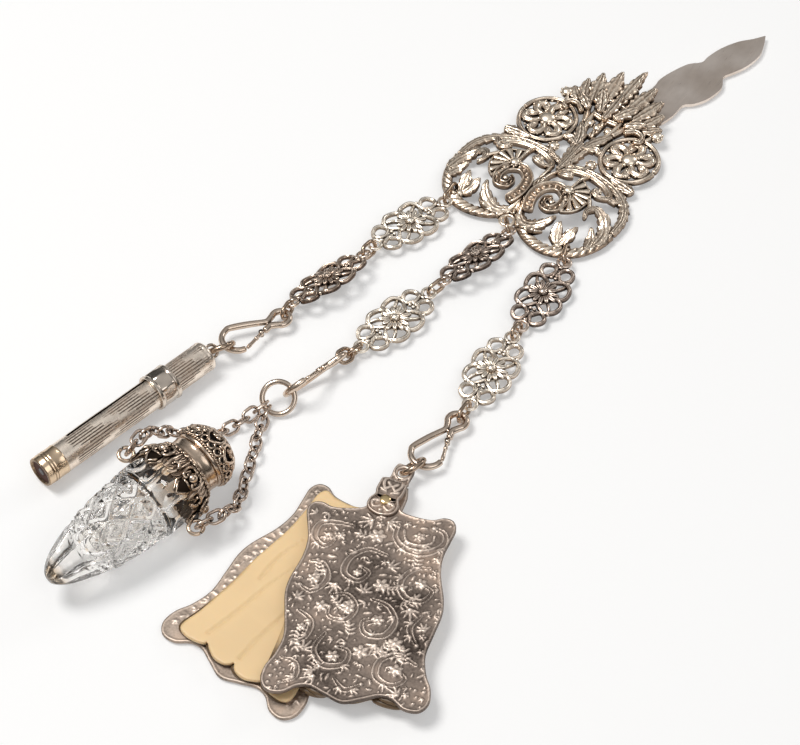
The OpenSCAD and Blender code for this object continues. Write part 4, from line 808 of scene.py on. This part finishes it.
def makeCap():
    shape, z0, c = Shape(), bottle["capFrom"], bottle["collar"]
    rim = z0 + 1.5
    profile = [(7.75, 0.05), (c, 0.05), (c + 0.2, 0.4), (c + 0.3, 0.8), (c + 0.3, 1.2)]
    shape.grid(lathe([(r, z0 + h) for r, h in profile], 96), wrap=True)
    q = angles(720)
    for twist in (32 * q, 32 * q + pi):  # the rope round the rim
        shape.tube(about(c + 0.42 + 0.2 * np.cos(twist), q, rim - 0.15 + 0.24 * np.sin(twist)), 0.3, 7, True)

    def over(r, q, up=0.0):  # a place on the dome
        return np.array([r * cos(q), r * sin(q), rim + (7.1 + up) * sqrt(max(1 - (r / (c + 0.9)) ** 2, 0.004))])

    def scroll(curl, b, flip=1, thick=(0.5,)):
        path, _ = evenPath([over(r, b + flip * q) for r, q in curl], 0.25)
        shape.tube(path, np.interp(np.linspace(0, 1, len(path)), np.linspace(0, 1, len(thick)), thick), sides=8)

    q = angles(16)
    for b in angles(22):  # small loops at the dome's foot
        loop = about(c + 0.75 - 0.12 * np.sin(q), b + 0.115 * np.cos(q), rim + 1.15 + 0.95 * np.sin(q))
        shape.tube(loop, 0.33, 7, True)
    for b in angles(8):  # pierced scrolls that climb the dome
        for flip in (-1, 1):
            scroll([(9.0, 0.0), (8.7, 0.16), (7.9, 0.32), (6.6, 0.32), (5.8, 0.1), (6.6, -0.04), (7.5, 0.06),
                    (7.3, 0.19)], b, flip, (0.45, 0.65, 0.45))
            scroll([(5.9, 0.1), (5.2, 0.3), (4, 0.36), (3.2, 0.1), (3.9, -0.08), (4.6, 0.1)], b, flip)
        shape.ball(over(8.4, b + pi / 8), 0.75, rings=7)
        scroll([(3.4, 0.0), (2.4, 0.12), (1.4, 0)], b)
    shape.ball(over(0, 0, 0.1), 1.5, flat=0.6, sides=20, rings=8)
    shape.tube([over(3.1, q) for q in angles(48)], 0.4, sides=8, closed=True)
    shape.placed(bottlePlace)
    shape.make("BottleCap", "gilt", body="bottle_cap", nodes=["bottle_cap"], slot="gilt_silver")
    # a near-black sheet just under the pierced dome: painted shade seen through the piercings
    shadeSheet = Shape()
    rows = [[over(r, b) * (0.88, 0.88, 1) - (0, 0, 0.9) for b in angles(96)] for r in np.linspace(9, 0.3, 14)]
    shadeSheet.grid(np.array(rows), 0, wrap=True, caps=True)
    shadeSheet.placed(bottlePlace).make("BottleCapShade", "dark", body="bottle_cap", slot="gilt_silver")


finishes["glass"] = glassFinish()
for make in (makePencil, makeSlider, makeGlass, makeMount, makeCap):
    make()
print("pencil and bottle made")


# the large ring, and the chains between it and the bottle
bigRoll, bigThick = 35, 0.75
bigSide, bigUp = sideAndUp(bigWay)
ringSide = bigSide * cos(radians(bigRoll)) - bigUp * sin(radians(bigRoll))
ringMid = (fromM + toM) / 2
shape = Shape()
loop = between(fromM, toM, bigRoll)(hoop((0, -bigLength / 2, 0), bigLength / 2, 64, (0, 1, 0), (1, 0, 0)))
shape.tube(loop, bigThick, sides=16, closed=True)
shape.tube(loop[30:34], 0.85, sides=14)
shape.make("RingBottle", "wire", nodes=["ring_bottle"], slot="wire_silver")
routes = {
    "left": (-8, [(-16.6, -117.2, 2.1), (-17.9, -122.4, 2.1), (-19.8, -127.2, 2.6), (-22.6, -132, 5),
                  (-26, -137.4, 9.4), (-28, -144, 15.5)], -1),
    "right": (16, [(-12.5, -117.5, 2.1), (-9.6, -123, 2.1), (-6.6, -129.4, 2.1), (-3.4, -136.6, 2.1), (-0.2, -143, 4),
                   (0.7, -148.2, 7.9)], 1)}
chain = {"wire": 0.9, "length": 4.7, "width": 3.2, "play": 0.2}


def rollTo(d, n):  # the roll that turns a link along d to face n
    side, up = sideAndUp(d)
    return degrees(atan2(-(n @ up), n @ side))


def makeChain(name, angle, points, side):
    wire, length = chain["wire"], chain["length"]
    lugAt = bottlePlace(np.array([side * bottle["lugOut"], 0, bottle["length"] - bottle["lugDepth"]]))
    face = bottlePlace(np.array([0, 1.0, 0])) - bottlePlace(np.zeros(3))
    c, s = polar(1, angle)
    held = ringMid + (bigWay * c + ringSide * s) * bigLength / 2
    way = (points[0] - held) / np.linalg.norm(points[0] - held)
    across = ringSide * c - bigWay * s
    start = held - way * (bigThick / np.linalg.norm(np.cross(way, across)) + wire / 2 + chain["play"])
    path = np.vstack([start[None], smoothPath(points, 4), lugAt[None]])
    run = np.concatenate([[0], np.cumsum(np.linalg.norm(np.diff(path, axis=0), axis=1))])
    at = lambda d: np.array([np.interp(d, run, path[:, k]) for k in range(3)])
    reach = run[-1] - length
    n = ceil(reach / (length - wire - chain["play"]))
    ends = [(at(reach * i / n), at(reach * i / n + length)) for i in range(n + 1)]
    first, last = rollTo(way, np.cross(across, way)), rollTo(ends[n][1] - ends[n][0], face)
    whole = last - first + 180 * round((90 * n - last + first) / 180)
    shape, link = Shape(), oval(chain["width"], length, 12)
    for i, (a, b) in enumerate(ends):
        put = between(a, b, first + whole * i / n)
        shape.tube(put(link), wire / 2 * (1 + 0.04 * np.sin(np.arange(24) * 1.3 + i)), sides=10, closed=True)
        shape.tube(put(link[16:19]), wire * 0.56, sides=9)
    shape.make("Chain" + name.title(), "chain", nodes=["chain_" + name], slot="wire_silver")


for name, route in routes.items():
    makeChain(name, *route)
print("chains made")


# the memo
memo = {"back": -3.5, "front": 26, "shackle": 13, "hole": 12, "cover": 0.8, "leaf": 0.8, "gap": 0.15, "foot": 0.65}
memo["leafZ"] = memo["foot"] + memo["cover"] + memo["gap"]
memo["frontZ"] = memo["leafZ"] + 4 * (memo["leaf"] + memo["gap"])
memo["shackleZ"] = memo["frontZ"] + memo["cover"] + memo["gap"]
memo["top"] = memo["shackleZ"] + 0.5
holeAt = hang(fromR, 1.2, 6.6, memo["top"] / 2)
pivot = holeAt[:2] + ahead(memo["shackle"]) * memo["hole"]
ovalRing("Ring_memo", fromR, holeAt, 5.8, 1.4, -50)
halfCover = [(0, 3), (2.2, 2.3), (3.4, 0), (4.8, -2.4), (8, -3.4), (12.5, -3.8), (15.6, -2.7), (18, -3.3), (19, -5.8),
             (18.2, -9.5), (17.1, -14.5), (17.4, -20), (19.2, -27), (19.5, -31.5), (18.5, -37), (17.4, -43.5),
             (18.4, -49), (20.1, -53), (20.3, -57), (18.2, -59.6), (14.6, -59.5), (11.5, -57.3), (8.5, -56.8),
             (4.5, -58.4), (0, -60)]
halfLeaf = [(0, 2.4), (1.9, 1.8), (3, 0), (4.6, -3), (8, -4.6), (12.5, -5), (15.8, -4.6), (16.9, -7), (16.2, -12),
            (15.7, -20), (16.4, -30), (16.2, -40), (17, -50), (18, -55.6), (16.6, -57.4), (13, -57.6), (10, -56.8),
            (9.3, -55.8), (8, -56.9), (5, -58.3), (2.2, -58.2), (0.8, -57.4), (0, -56.4)]


def wholeOutline(half, larger=1.0):
    p = np.array(half + [(-x, y) for x, y in half[-2:0:-1]], float)
    return smoothPath(np.vstack([p[-1:], p, p[:2]]), 8)[8:8 + 8 * len(p)] * larger


def inside(points, loop):
    x, y = points[:, 0], points[:, 1]
    hit = np.zeros(len(points), bool)
    for (x1, y1), (x2, y2) in zip(loop, np.roll(loop, -1, 0)):
        if y1 != y2:
            hit ^= ((y1 > y) != (y2 > y)) & (x < (x2 - x1) * (y - y1) / (y2 - y1) + x1)
    return hit


def toLoop(points, loop):  # nearest points of the loop, and the distances to them
    best, where = np.full(len(points), 1e9), points.copy()
    for a, b in zip(loop, np.roll(loop, -1, 0)):
        d = b - a
        t = clamp(((points - a) @ d) / max(d @ d, 1e-12))
        q = a + t[:, None] * d
        r = np.hypot(*(points - q).T)
        near = r < best
        best[near], where[near] = r[near], q[near]
    return where, best


class Relief:  # a height field over an outline, filled by motifs
    def __init__(self, outline, cell):
        self.loop, self.cell = outline, cell
        low, high = outline.min(0) - cell, outline.max(0) + cell
        self.x, self.y = np.arange(low[0], high[0], cell), np.arange(low[1], high[1], cell)
        self.xx, self.yy = np.meshgrid(self.x, self.y, indexing="ij")
        size = self.xx.shape
        self.h, self.lift = np.zeros(size), np.zeros(size)
        self.flat = np.stack([self.xx.ravel(), self.yy.ravel()], 1)
        self.mask, self.edge = inside(self.flat, outline).reshape(size), toLoop(self.flat, outline)[1].reshape(size)

    def window(self, low, high):
        i = np.searchsorted(self.x, (low[0], high[0]))
        j = np.searchsorted(self.y, (low[1], high[1]))
        return slice(i[0], i[1] + 1), slice(j[0], j[1] + 1)

    def stroke(self, points, width, height, groove=0.0, taper=(1, 1), pellets=0.0, double=False):
        path, s = evenPath(points, 0.4)
        w = np.interp(s / s[-1], (0, 0.5, 1), (taper[0], 1, taper[1])) * width / 2
        part = self.window(path.min(0) - width, path.max(0) + width)
        x, y = self.xx[part], self.yy[part]
        if not x.size:
            return
        best, run, reach = np.full(x.shape, 9.0), np.zeros(x.shape), np.ones(x.shape)
        for k in range(len(path)):
            d = np.hypot(x - path[k, 0], y - path[k, 1]) / w[k]
            near = d < best
            best[near], run[near], reach[near] = d[near], s[k], w[k]
        u = clamp(best)
        h = arch(u) * (0.55 + 0.45 * clamp(reach / (width / 2))) - groove * ridge(u, 0, 0.3)
        if double:  # two thin rims with a sunk middle
            h = ridge(u, 0.76, 0.19) + 0.08
        if pellets:
            h = h + 0.5 * clamp(1 - (((run / pellets) % 1 - 0.5) / 0.34) ** 2 - (u / 0.4) ** 2)
        self.h[part] = np.where(best < 1, np.maximum(self.h[part], height * h), self.h[part])

    def leaf(self, x0, y0, length, width, angle, height, ribs=False):  # a petal from its foot
        part = self.window((x0 - length, y0 - length), (x0 + length, y0 + length))
        x, y = self.xx[part] - x0, self.yy[part] - y0
        c, s = polar(1, angle)
        s, t = (x * c + y * s) / length, (y * c - x * s) / (width / 2)
        u = t / (np.sqrt(clamp(np.sin(clamp(s) * pi * 0.94 + 0.1))) + 1e-6)
        h = arch(u) - 0.35 * ridge(u, 0, 0.12)
        if ribs:
            h = h + 0.16 * np.cos((s * 5 + np.abs(u) * 1.5) * 2 * pi)
        ok = (s > 0) & (s < 1) & (np.abs(u) < 1)
        self.h[part] = np.where(ok, np.maximum(self.h[part], height * np.clip(h, 0.1, None)), self.h[part])

    def dot(self, x0, y0, radius, height):
        part = self.window((x0 - radius, y0 - radius), (x0 + radius, y0 + radius))
        d = np.hypot(self.xx[part] - x0, self.yy[part] - y0) / radius
        self.h[part] = np.maximum(self.h[part], height * arch(d))

    def daisy(self, x0, y0, radius, height, petals, turn):
        for k in range(petals):
            angle = turn + 360 * k / petals
            x, y = (x0, y0) + polar(0.25 * radius, angle)
            self.leaf(x, y, radius * 0.8, radius * 0.72, angle, height)
        self.dot(x0, y0, radius * 0.33, height * 1.25)

    def make(self, name, finish, angle, z, thick, **options):
        nx, ny = self.h.shape
        i = np.arange(nx * ny).reshape(nx, ny)
        quad = np.stack([i[:-1, :-1], i[1:, :-1], i[1:, 1:], i[:-1, 1:]], -1).reshape(-1, 4)
        quad = quad[self.mask.ravel()[quad].sum(1) >= 3]
        used, count = np.unique(quad, return_counts=True)
        flat, n = self.flat[used], len(used)
        border = count < 4
        flat[border] = toLoop(flat[border], self.loop)[0]
        new = np.full(nx * ny, -1)
        new[used] = np.arange(n)
        quad = new[quad]
        h, lift = np.where(border, 0.0, self.h.ravel()[used]), self.lift.ravel()[used]
        top, low = np.column_stack([flat, lift + thick + h]), np.column_stack([flat, lift])
        edges = np.concatenate([quad[:, [k, (k + 1) % 4]] for k in range(4)])
        key = np.sort(edges, 1)
        _, first, times = np.unique(key[:, 0] * n + key[:, 1], return_index=True, return_counts=True)
        rim = edges[first[times == 1]]
        walls = np.column_stack([rim[:, 1], rim[:, 0], rim[:, 0] + n, rim[:, 1] + n])
        shape = Shape()
        shape.add(np.vstack([top, low]), quad.tolist() + (quad[:, ::-1] + n).tolist() + walls.tolist(),
                  np.tile(np.clip(h / 0.5, 0, 1.2), 2))
        shape.placed(lambda p: turned(p, angle) + lay(pivot, z)).make(name, finish, **options)


coverMotifs = {
    "scrolls": [  # width, groove, pellets, points
        (2.0, 0.5, 0, [(4.6, -6.8), (4.4, -10.6), (7.6, -13.9), (12.8, -14.2), (16.6, -11),
                       (16.4, -7.6), (13.6, -6.4)]),
        (1.0, 0, 1.0, [(6.2, -8), (7.2, -11.2), (10.4, -12.2), (13.6, -11), (14, -9)]),
        (1.7, 0.5, 0, [(3.2, -16.4), (-1.5, -15.4), (-5.5, -18.6), (-6.3, -23.2), (-2.5, -25.2),
                       (-0.2, -22.4), (-2.6, -20.8)]),
        (1.7, 0.5, 0, [(-6.4, -9), (-10, -8.6), (-14.6, -9.4), (-15.6, -13.4), (-12.7, -16.2),
                       (-10.6, -14), (-12, -12.4)]),
        (1.7, 0.5, 0, [(14.4, -18.6), (10.6, -19.6), (8, -23.6), (9.6, -28), (14, -28.6), (16, -25.4), (13.6, -24)]),
        (1.6, 0.4, 0, [(-15, -21), (-11.6, -21.6), (-10, -26), (-13, -30), (-16.4, -28.6)]),
        (1.5, 0.4, 0, [(-8, -30.4), (-4.2, -29.6), (-1.6, -33), (-3.4, -37), (-7.6, -36.6), (-8, -33.8)]),
        (1.7, 0.5, 0, [(2, -30), (6.2, -31.4), (8.6, -35.6), (6.6, -40), (2, -40.2), (0.8, -36.8), (3.4, -35.6)]),
        (1.5, 0.4, 0, [(14.6, -33), (12.4, -37), (14.8, -41.6)]),
        (1.5, 0.4, 0, [(-15.2, -36), (-11.6, -38.6), (-12, -43.4), (-15, -45.4)]),
        (1.7, 0.5, 0, [(-7.6, -41.6), (-9.4, -46.4), (-6.4, -50.6), (-1.6, -49.6), (-1, -45.8), (-4.2, -45)]),
        (1.7, 0.5, 0, [(15.6, -47), (11, -45), (7, -47), (6.6, -51.6), (10.6, -53.6), (13.6, -51.4), (11.6, -49.4)]),
        (1.4, 0.4, 0, [(-16.6, -50), (-13, -51), (-12.4, -55), (-15.8, -57)]),
        (1.4, 0.4, 0, [(-3, -54), (0, -56.6), (3.6, -54.4)])],
    "daisies": [(0, -11, 2.1), (-9, -12.4, 1.2), (13, -23.6, 1.6), (-3.4, -33.4, 1.8), (4.4, -35.8, 1.6),
                (-13.4, -26.2, 1.7), (11, -49.3, 1.8), (-4.6, -47.8, 1.7), (10.4, -9.6, 1.5), (3.4, -25.6, 2.0),
                (-10, -34, 1.7), (9.6, -41.8, 1.9), (-13.6, -40.8, 1.3), (1.8, -45.4, 2.0), (-3, -22.8, 1.2)],
    "sprays": [(-2, -6.4, 200, 3.4), (2, -6.4, -20, 3.4), (-7.6, -27, 250, 3), (11.6, -31.4, 280, 3),
               (-0.6, -28.4, 80, 3), (5, -43, 250, 3), (-12, -47, 60, 3), (12.6, -56, 150, 2.8), (-8, -54, 200, 3),
               (16, -37, 120, 2.4), (-16.4, -32.6, 60, 2.4), (4.6, -20, 40, 3)],
    "branches": [(10, -20, 60, 6), (-13, -26, 70, 5), (4, -46, 20, 6), (-4, -35, 110, 5), (12, -48, 70, 5),
                 (-9, -13, 170, 4), (3, -26, -20, 6), (-14, -41, 250, 6), (9, -42, -80, 5), (-1, -12, 150, 4),
                 (-6, -50, 200, 5), (8, -31, 10, 6), (-2, -42, 80, 4)]}


def coverRelief(height, seed, cell, larger=1.0):
    relief, pick, low = Relief(wholeOutline(halfCover, larger), cell), np.random.default_rng(seed), height * 0.85
    for width, groove, pellets, points in coverMotifs["scrolls"]:
        relief.stroke(points, width * 1.2, height, groove, (0.5, 0.45), pellets, double=groove > 0)
        p, _ = evenPath(points, 0.3)
        for share in (0.3, 0.66):  # leaves that leave the scroll
            i = int(share * len(p))
            way = degrees(atan2(*(p[min(i + 2, len(p) - 1)] - p[i - 2])[::-1]))
            for turn, size in ((98, 1.7), (62, 2.4), (28, 2.2)):
                relief.leaf(*p[i], size, 0.7, way - turn, height * 0.8)
        relief.dot(*p[-1], width * 0.42, height * 1.2)
    for x, y, angle, length in coverMotifs["sprays"]:
        for k in range(-2, 3):
            relief.leaf(x, y, length * (1.1 - 0.14 * abs(k)), 0.78, angle + 34 * k, low)
        relief.dot(x, y, 0.55, height * 1.1)
    for x, y, r in coverMotifs["daisies"]:
        relief.daisy(x, y, r, height, 6, pick.uniform(0, 60))
    for x, y, angle, length in coverMotifs["branches"]:  # a curved stem with leaves on both sides
        for k in range(int(length / 1.1)):
            nx, ny = (x, y) + polar(1.1, angle)
            relief.stroke([(x, y), ((x + nx) / 2, (y + ny) / 2), (nx, ny)], 0.45, height * 0.7)
            for side in (-1, 1):
                relief.leaf(nx, ny, 1.7, 0.8, angle + side * 56, low)
            x, y, angle = nx, ny, angle + 11
        relief.leaf(x, y, 2.0, 1.0, angle, low)
    # small flowers, sprigs, leaves and buds fill the ground between them
    for k in range(2600):
        x, y = pick.uniform(-19, 19), pick.uniform(-58.5, -4.5)
        i, j = int((x - relief.x[0]) / cell), int((y - relief.y[0]) / cell)
        size = pick.uniform(0.55, 1.25)
        m = max(int(size / cell), 1)
        if (not relief.mask[i, j] or relief.edge[i, j] < 0.5 + size * 0.6
                or relief.h[max(i - m, 0):i + m + 1, max(j - m, 0):j + m + 1].max() > 0.02):
            continue
        kind, turn = pick.integers(0, 4), pick.uniform(0, 360)
        if kind == 0 and size > 0.8:
            relief.daisy(x, y, size, height * 0.8, 5, turn)
        elif kind == 1:
            for spread in (-48, 0, 48):
                relief.leaf(x, y, size * 1.5, size * 0.6, turn + spread, low)
        elif kind == 2:
            relief.leaf(*((x, y) - polar(size, turn)), size * 2, size * 0.95, turn, height * 0.7)
        else:
            relief.dot(x, y, size * 0.5, height * 0.8)
    rim = clamp(1 - ((relief.edge - 0.35) / 0.35) ** 2) ** 0.5
    relief.h = np.maximum(relief.h * clamp((relief.edge - 0.3) / 0.3), rim * height * 0.5)
    return relief


coverRelief(0.5, 3, 0.235).make("MemoFront", "cover", memo["front"], memo["frontZ"], memo["cover"], body="memo_front",
                                nodes=["memo_front"], slot="dark_silver")
coverRelief(0.3, 5, 0.3, 1.05).make("MemoBack", "backCover", memo["back"], memo["foot"], memo["cover"] - 0.12,
                                    body="memo_back", nodes=["memo_back"], slot="dark_silver")
print("covers made")


def leafRelief(flutes, cell, larger):
    relief = Relief(wholeOutline(halfLeaf, larger), cell)
    for points in ([(-6, -26), (-8, -36), (-9, -46), (-10.5, -56)], [(0, -30), (0.6, -40), (0, -50), (0.2, -57)],
                   [(-10, -20), (-11.5, -28), (-11, -36)], [(5, -34), (7, -44), (9.4, -56)]):
        relief.stroke(points, 1.1, 1.0, 0, (0.2, 1))
    relief.h = -flutes * relief.h * clamp(relief.edge) - 0.12 * clamp(1 - relief.edge / 0.5)
    return relief


# a darker copy of the ivory with a dark brown lower end: painted shade for the leaves that lie under the covers
finishes["shadedIvory"] = ivoryFinish("shadedIvory", (0.6, 0.43, 0.24), (lay(pivot, 3) + shift) / 1000)
leaves = [  # turn, finish, depth of the creases, cell, scale: the second one is the one that lies open
    (-3.5, "shadedIvory", 0.16, 0.7, (0.96, 1.04)), (-2.5, "ivory", 0.3, 0.4, (0.96, 1.04)),
    (23, "shadedIvory", 0.16, 0.7, (1, 1)), (24.5, "shadedIvory", 0.16, 0.7, (1, 1))]
for k, (turn, finish, flutes, cell, larger) in enumerate(leaves):
    leafRelief(flutes, cell, larger).make(
        f"MemoLeaf{k + 1}", finish, turn, memo["leafZ"] + k * (memo["leaf"] + memo["gap"]), memo["leaf"],
        body=f"memo_leaf_{k + 1}", nodes=[f"memo_leaf_{k + 1}"], slot="ivory")
print("leaves made")


def makeShackle():  # a folded strap round the memo's top, with scrolls on its upper side
    outline = [(-2, 14.4), (0, 15), (2, 14.4), (2.7, 12.6), (2.6, 9.6), (3.4, 7), (3.6, 3), (3.2, 1.2), (4, -0.8),
               (3.8, -3), (2.2, -4.4)]
    relief = Relief(smoothPath([*outline, (0, -4.9), *[(-x, y) for x, y in outline[::-1]]], 6)[:-1], 0.2)
    scrolls = [([(0.4, 8.6), (1.8, 7.4), (2.4, 5.2), (1.4, 3.4), (0.4, 4.4), (1.2, 5.4)], 1.0, 0.6, 0.3),
               ([(0.6, 9.4), (1.6, 10.4), (2.1, 12.2), (1.2, 13.9)], 0.9, 0.5, 0),
               ([(0.5, -2.2), (2.0, -3.0), (2.9, -1.6), (2.2, -0.6)], 0.9, 0.55, 0.2)]
    for side in (-1, 1):
        for points, width, height, groove in scrolls:
            relief.stroke(np.array(points) * (side, 1), width, height, groove)
        for y, a in ((6.8, 40), (2.4, 20), (-0.4, -20)):
            relief.leaf(side * 0.5, y, 2.4, 1.2, a if side > 0 else 180 - a, 0.55, ribs=True)
    relief.dot(0, 7.4, 0.8, 0.7)
    relief.dot(0, -3.4, 0.7, 0.6)
    for y, reach in ((memo["hole"], 1.75), (0, 0.9)):  # the hole and the rivet's place
        relief.mask &= np.hypot(relief.xx, relief.yy - y) > reach
    rim = 0.45 * clamp(1 - ((relief.edge - 0.3) / 0.3) ** 2) ** 0.5
    relief.h = np.maximum(relief.h, rim)
    # the upper half steps down to the hole's end, and the lower one mirrors it
    end = memo["top"] / 2
    relief.lift = np.interp(relief.yy, (6.2, 9), (memo["shackleZ"], end - 0.2))
    relief.make("MemoShackle", "cover", memo["shackle"], 0, 0.5, nodes=["memo_shackle"], slot="dark_silver")
    atPivot = lambda p: turned(p, memo["shackle"]) + lay(pivot, 0)
    lower, eye, rivet, u = Shape(), Shape(), Shape(), np.linspace(-1, 1, 9)
    y = np.linspace(-4.4, 14.2, 40)
    y = y[y < 8.8]
    width = np.interp(y, (-4.4, -0.8, 1.2, 3, 7, 9.6, 12.6, 14.2), (2.2, 3.8, 3.1, 3.5, 3.3, 2.5, 2.6, 1.8))
    base = np.interp(y, (6.4, 9), (0.05, end - 0.75))
    lower.grid(np.array([[(v * w, h, b) for v in u] + [(v * w, h, b + 0.45) for v in u[::-1]]
                         for h, w, b in zip(y, width, base)]), 0.6, wrap=True, caps=True)
    lower.placed(atPivot).make("MemoShackleBack", "cover", slot="dark_silver")
    # the hole's rim, and the rivet with its head
    eye.tube(hoop((0, memo["hole"], end), 1.95, 40), 0.55, closed=True)
    eye.placed(atPivot).make("MemoShackleEye", "cover", slot="dark_silver")
    rivet.tube([(0, 0, 0.1), (0, 0, memo["top"] + 0.25)], 1.08, sides=24)
    head = [(1.5, 0.12), (1.5, 0.3), (1.3, 0.5), (0.8, 0.62), (0.2, 0.66)]
    rivet.grid(lathe([(r, memo["top"] + z) for r, z in head], 32), wrap=True, caps=True)
    rivet.placed(lambda p: p + lay(pivot, 0)).make("MemoRivet", "gold", nodes=["memo_rivet"], slot="gilt_silver")


makeShackle()


# the pieces that keep their drawn shape
def keep(name, finish):
    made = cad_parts[name]
    made.data.materials.clear()
    made.data.materials.append(finish)
    bevel = made.modifiers.new("edge", "BEVEL")
    bevel.width, bevel.segments, bevel.limit_method = 0.00012, 2, "ANGLE"


def tongueFinish():
    f = Finish("hookSilver")
    scratch, cloud = f.noise(220.0, 4.0, (9.0, 1.0, 1.0)), f.noise(70.0)
    color = f.mix(cloud.ramp(0.3, 0.75), (0.92, 0.82, 0.74), (0.68, 0.58, 0.5))
    color = f.mix(scratch.ramp(0.6, 0.75) * 0.4, color, (0.45, 0.37, 0.31))
    return f.put(Base_Color=color, Metallic=1.0, Roughness=0.34 + (scratch - 0.5) * 0.3,
                 Normal=f.bump(scratch, 0.12, 0.00003))


keep("belt_hook", tongueFinish())
keep("pencil_wood", plainFinish("wood", (0.075, 0.02, 0.009), 0.75))
keep("pencil_lead", plainFinish("lead", (0.14, 0.13, 0.13), 0.6, 0.2))
print("kept pieces finished")


# the table, the camera, the lights and the room
mesh = bpy.data.meshes.new("Paper")
mesh.from_pydata([(-4, -4, 0), (4, -4, 0), (4, 4, 0), (-4, 4, 0)], [], [(0, 1, 2, 3)])
mesh.materials.append(Finish("paper").put(Base_Color=(0.6, 0.6, 0.6), Roughness=0.95, Emission_Color=(1.0, 1.0, 1.0),
                                          Emission_Strength=0.42))
show("Paper", mesh)


def aim(made, at, target):
    made.location = at
    made.rotation_euler = (Vector(target) - Vector(at)).to_track_quat("-Z", "Y").to_euler()


view = {"target": (-0.005417, -0.032528, 0.0), "way": (0.582, -0.813), "rise": 50.0, "distance": 0.6166}
level, high = polar(view["distance"], view["rise"])
camera = show("Camera", bpy.data.cameras.new("Camera"))
aim(camera, Vector(view["target"]) + Vector((view["way"][0] * level, view["way"][1] * level, high)), view["target"])
camera.data.lens, camera.data.sensor_width = 103.5, 36
camera.data.clip_start, camera.data.clip_end = 0.05, 10
camera.data.dof.use_dof = False
scene = bpy.context.scene
scene.camera = camera

for name, at, size, power, color in (("Key", (-0.45, -0.25, 1.15), 0.55, 16.8, (1, 0.985, 0.96)),
                                     ("Fill", (0.75, -0.3, 0.8), 0.8, 3.0, (1, 1, 1)),
                                     ("Rim", (0.35, 1.15, 0.6), 0.5, 3.0, (1, 1, 1))):
    lamp = bpy.data.lights.new(name, "AREA")
    lamp.shape, lamp.size, lamp.energy, lamp.color = "DISK", size, power, color
    aim(show(name, lamp), at, (0, 0, 0))

world = bpy.data.worlds.new("Room")  # brighter overhead than at the horizon
scene.world = world
world.use_nodes = True
nodes, links = world.node_tree.nodes, world.node_tree.links
where, apart, ramp = [nodes.new("ShaderNode" + kind) for kind in ("TexCoord", "SeparateXYZ", "MapRange")]
for k, value in zip((1, 2, 3, 4), (0.15, 0.95, 0.14, 1.2)):
    ramp.inputs[k].default_value = value
links.new(where.outputs["Generated"], apart.inputs[0])
links.new(apart.outputs[2], ramp.inputs[0])
links.new(ramp.outputs[0], nodes["Background"].inputs["Color"])
nodes["Background"].inputs["Strength"].default_value = 0.62
scene.view_settings.view_transform = "Standard"
scene.view_settings.look = "None"
scene.view_settings.exposure = -0.55
print("stage set")
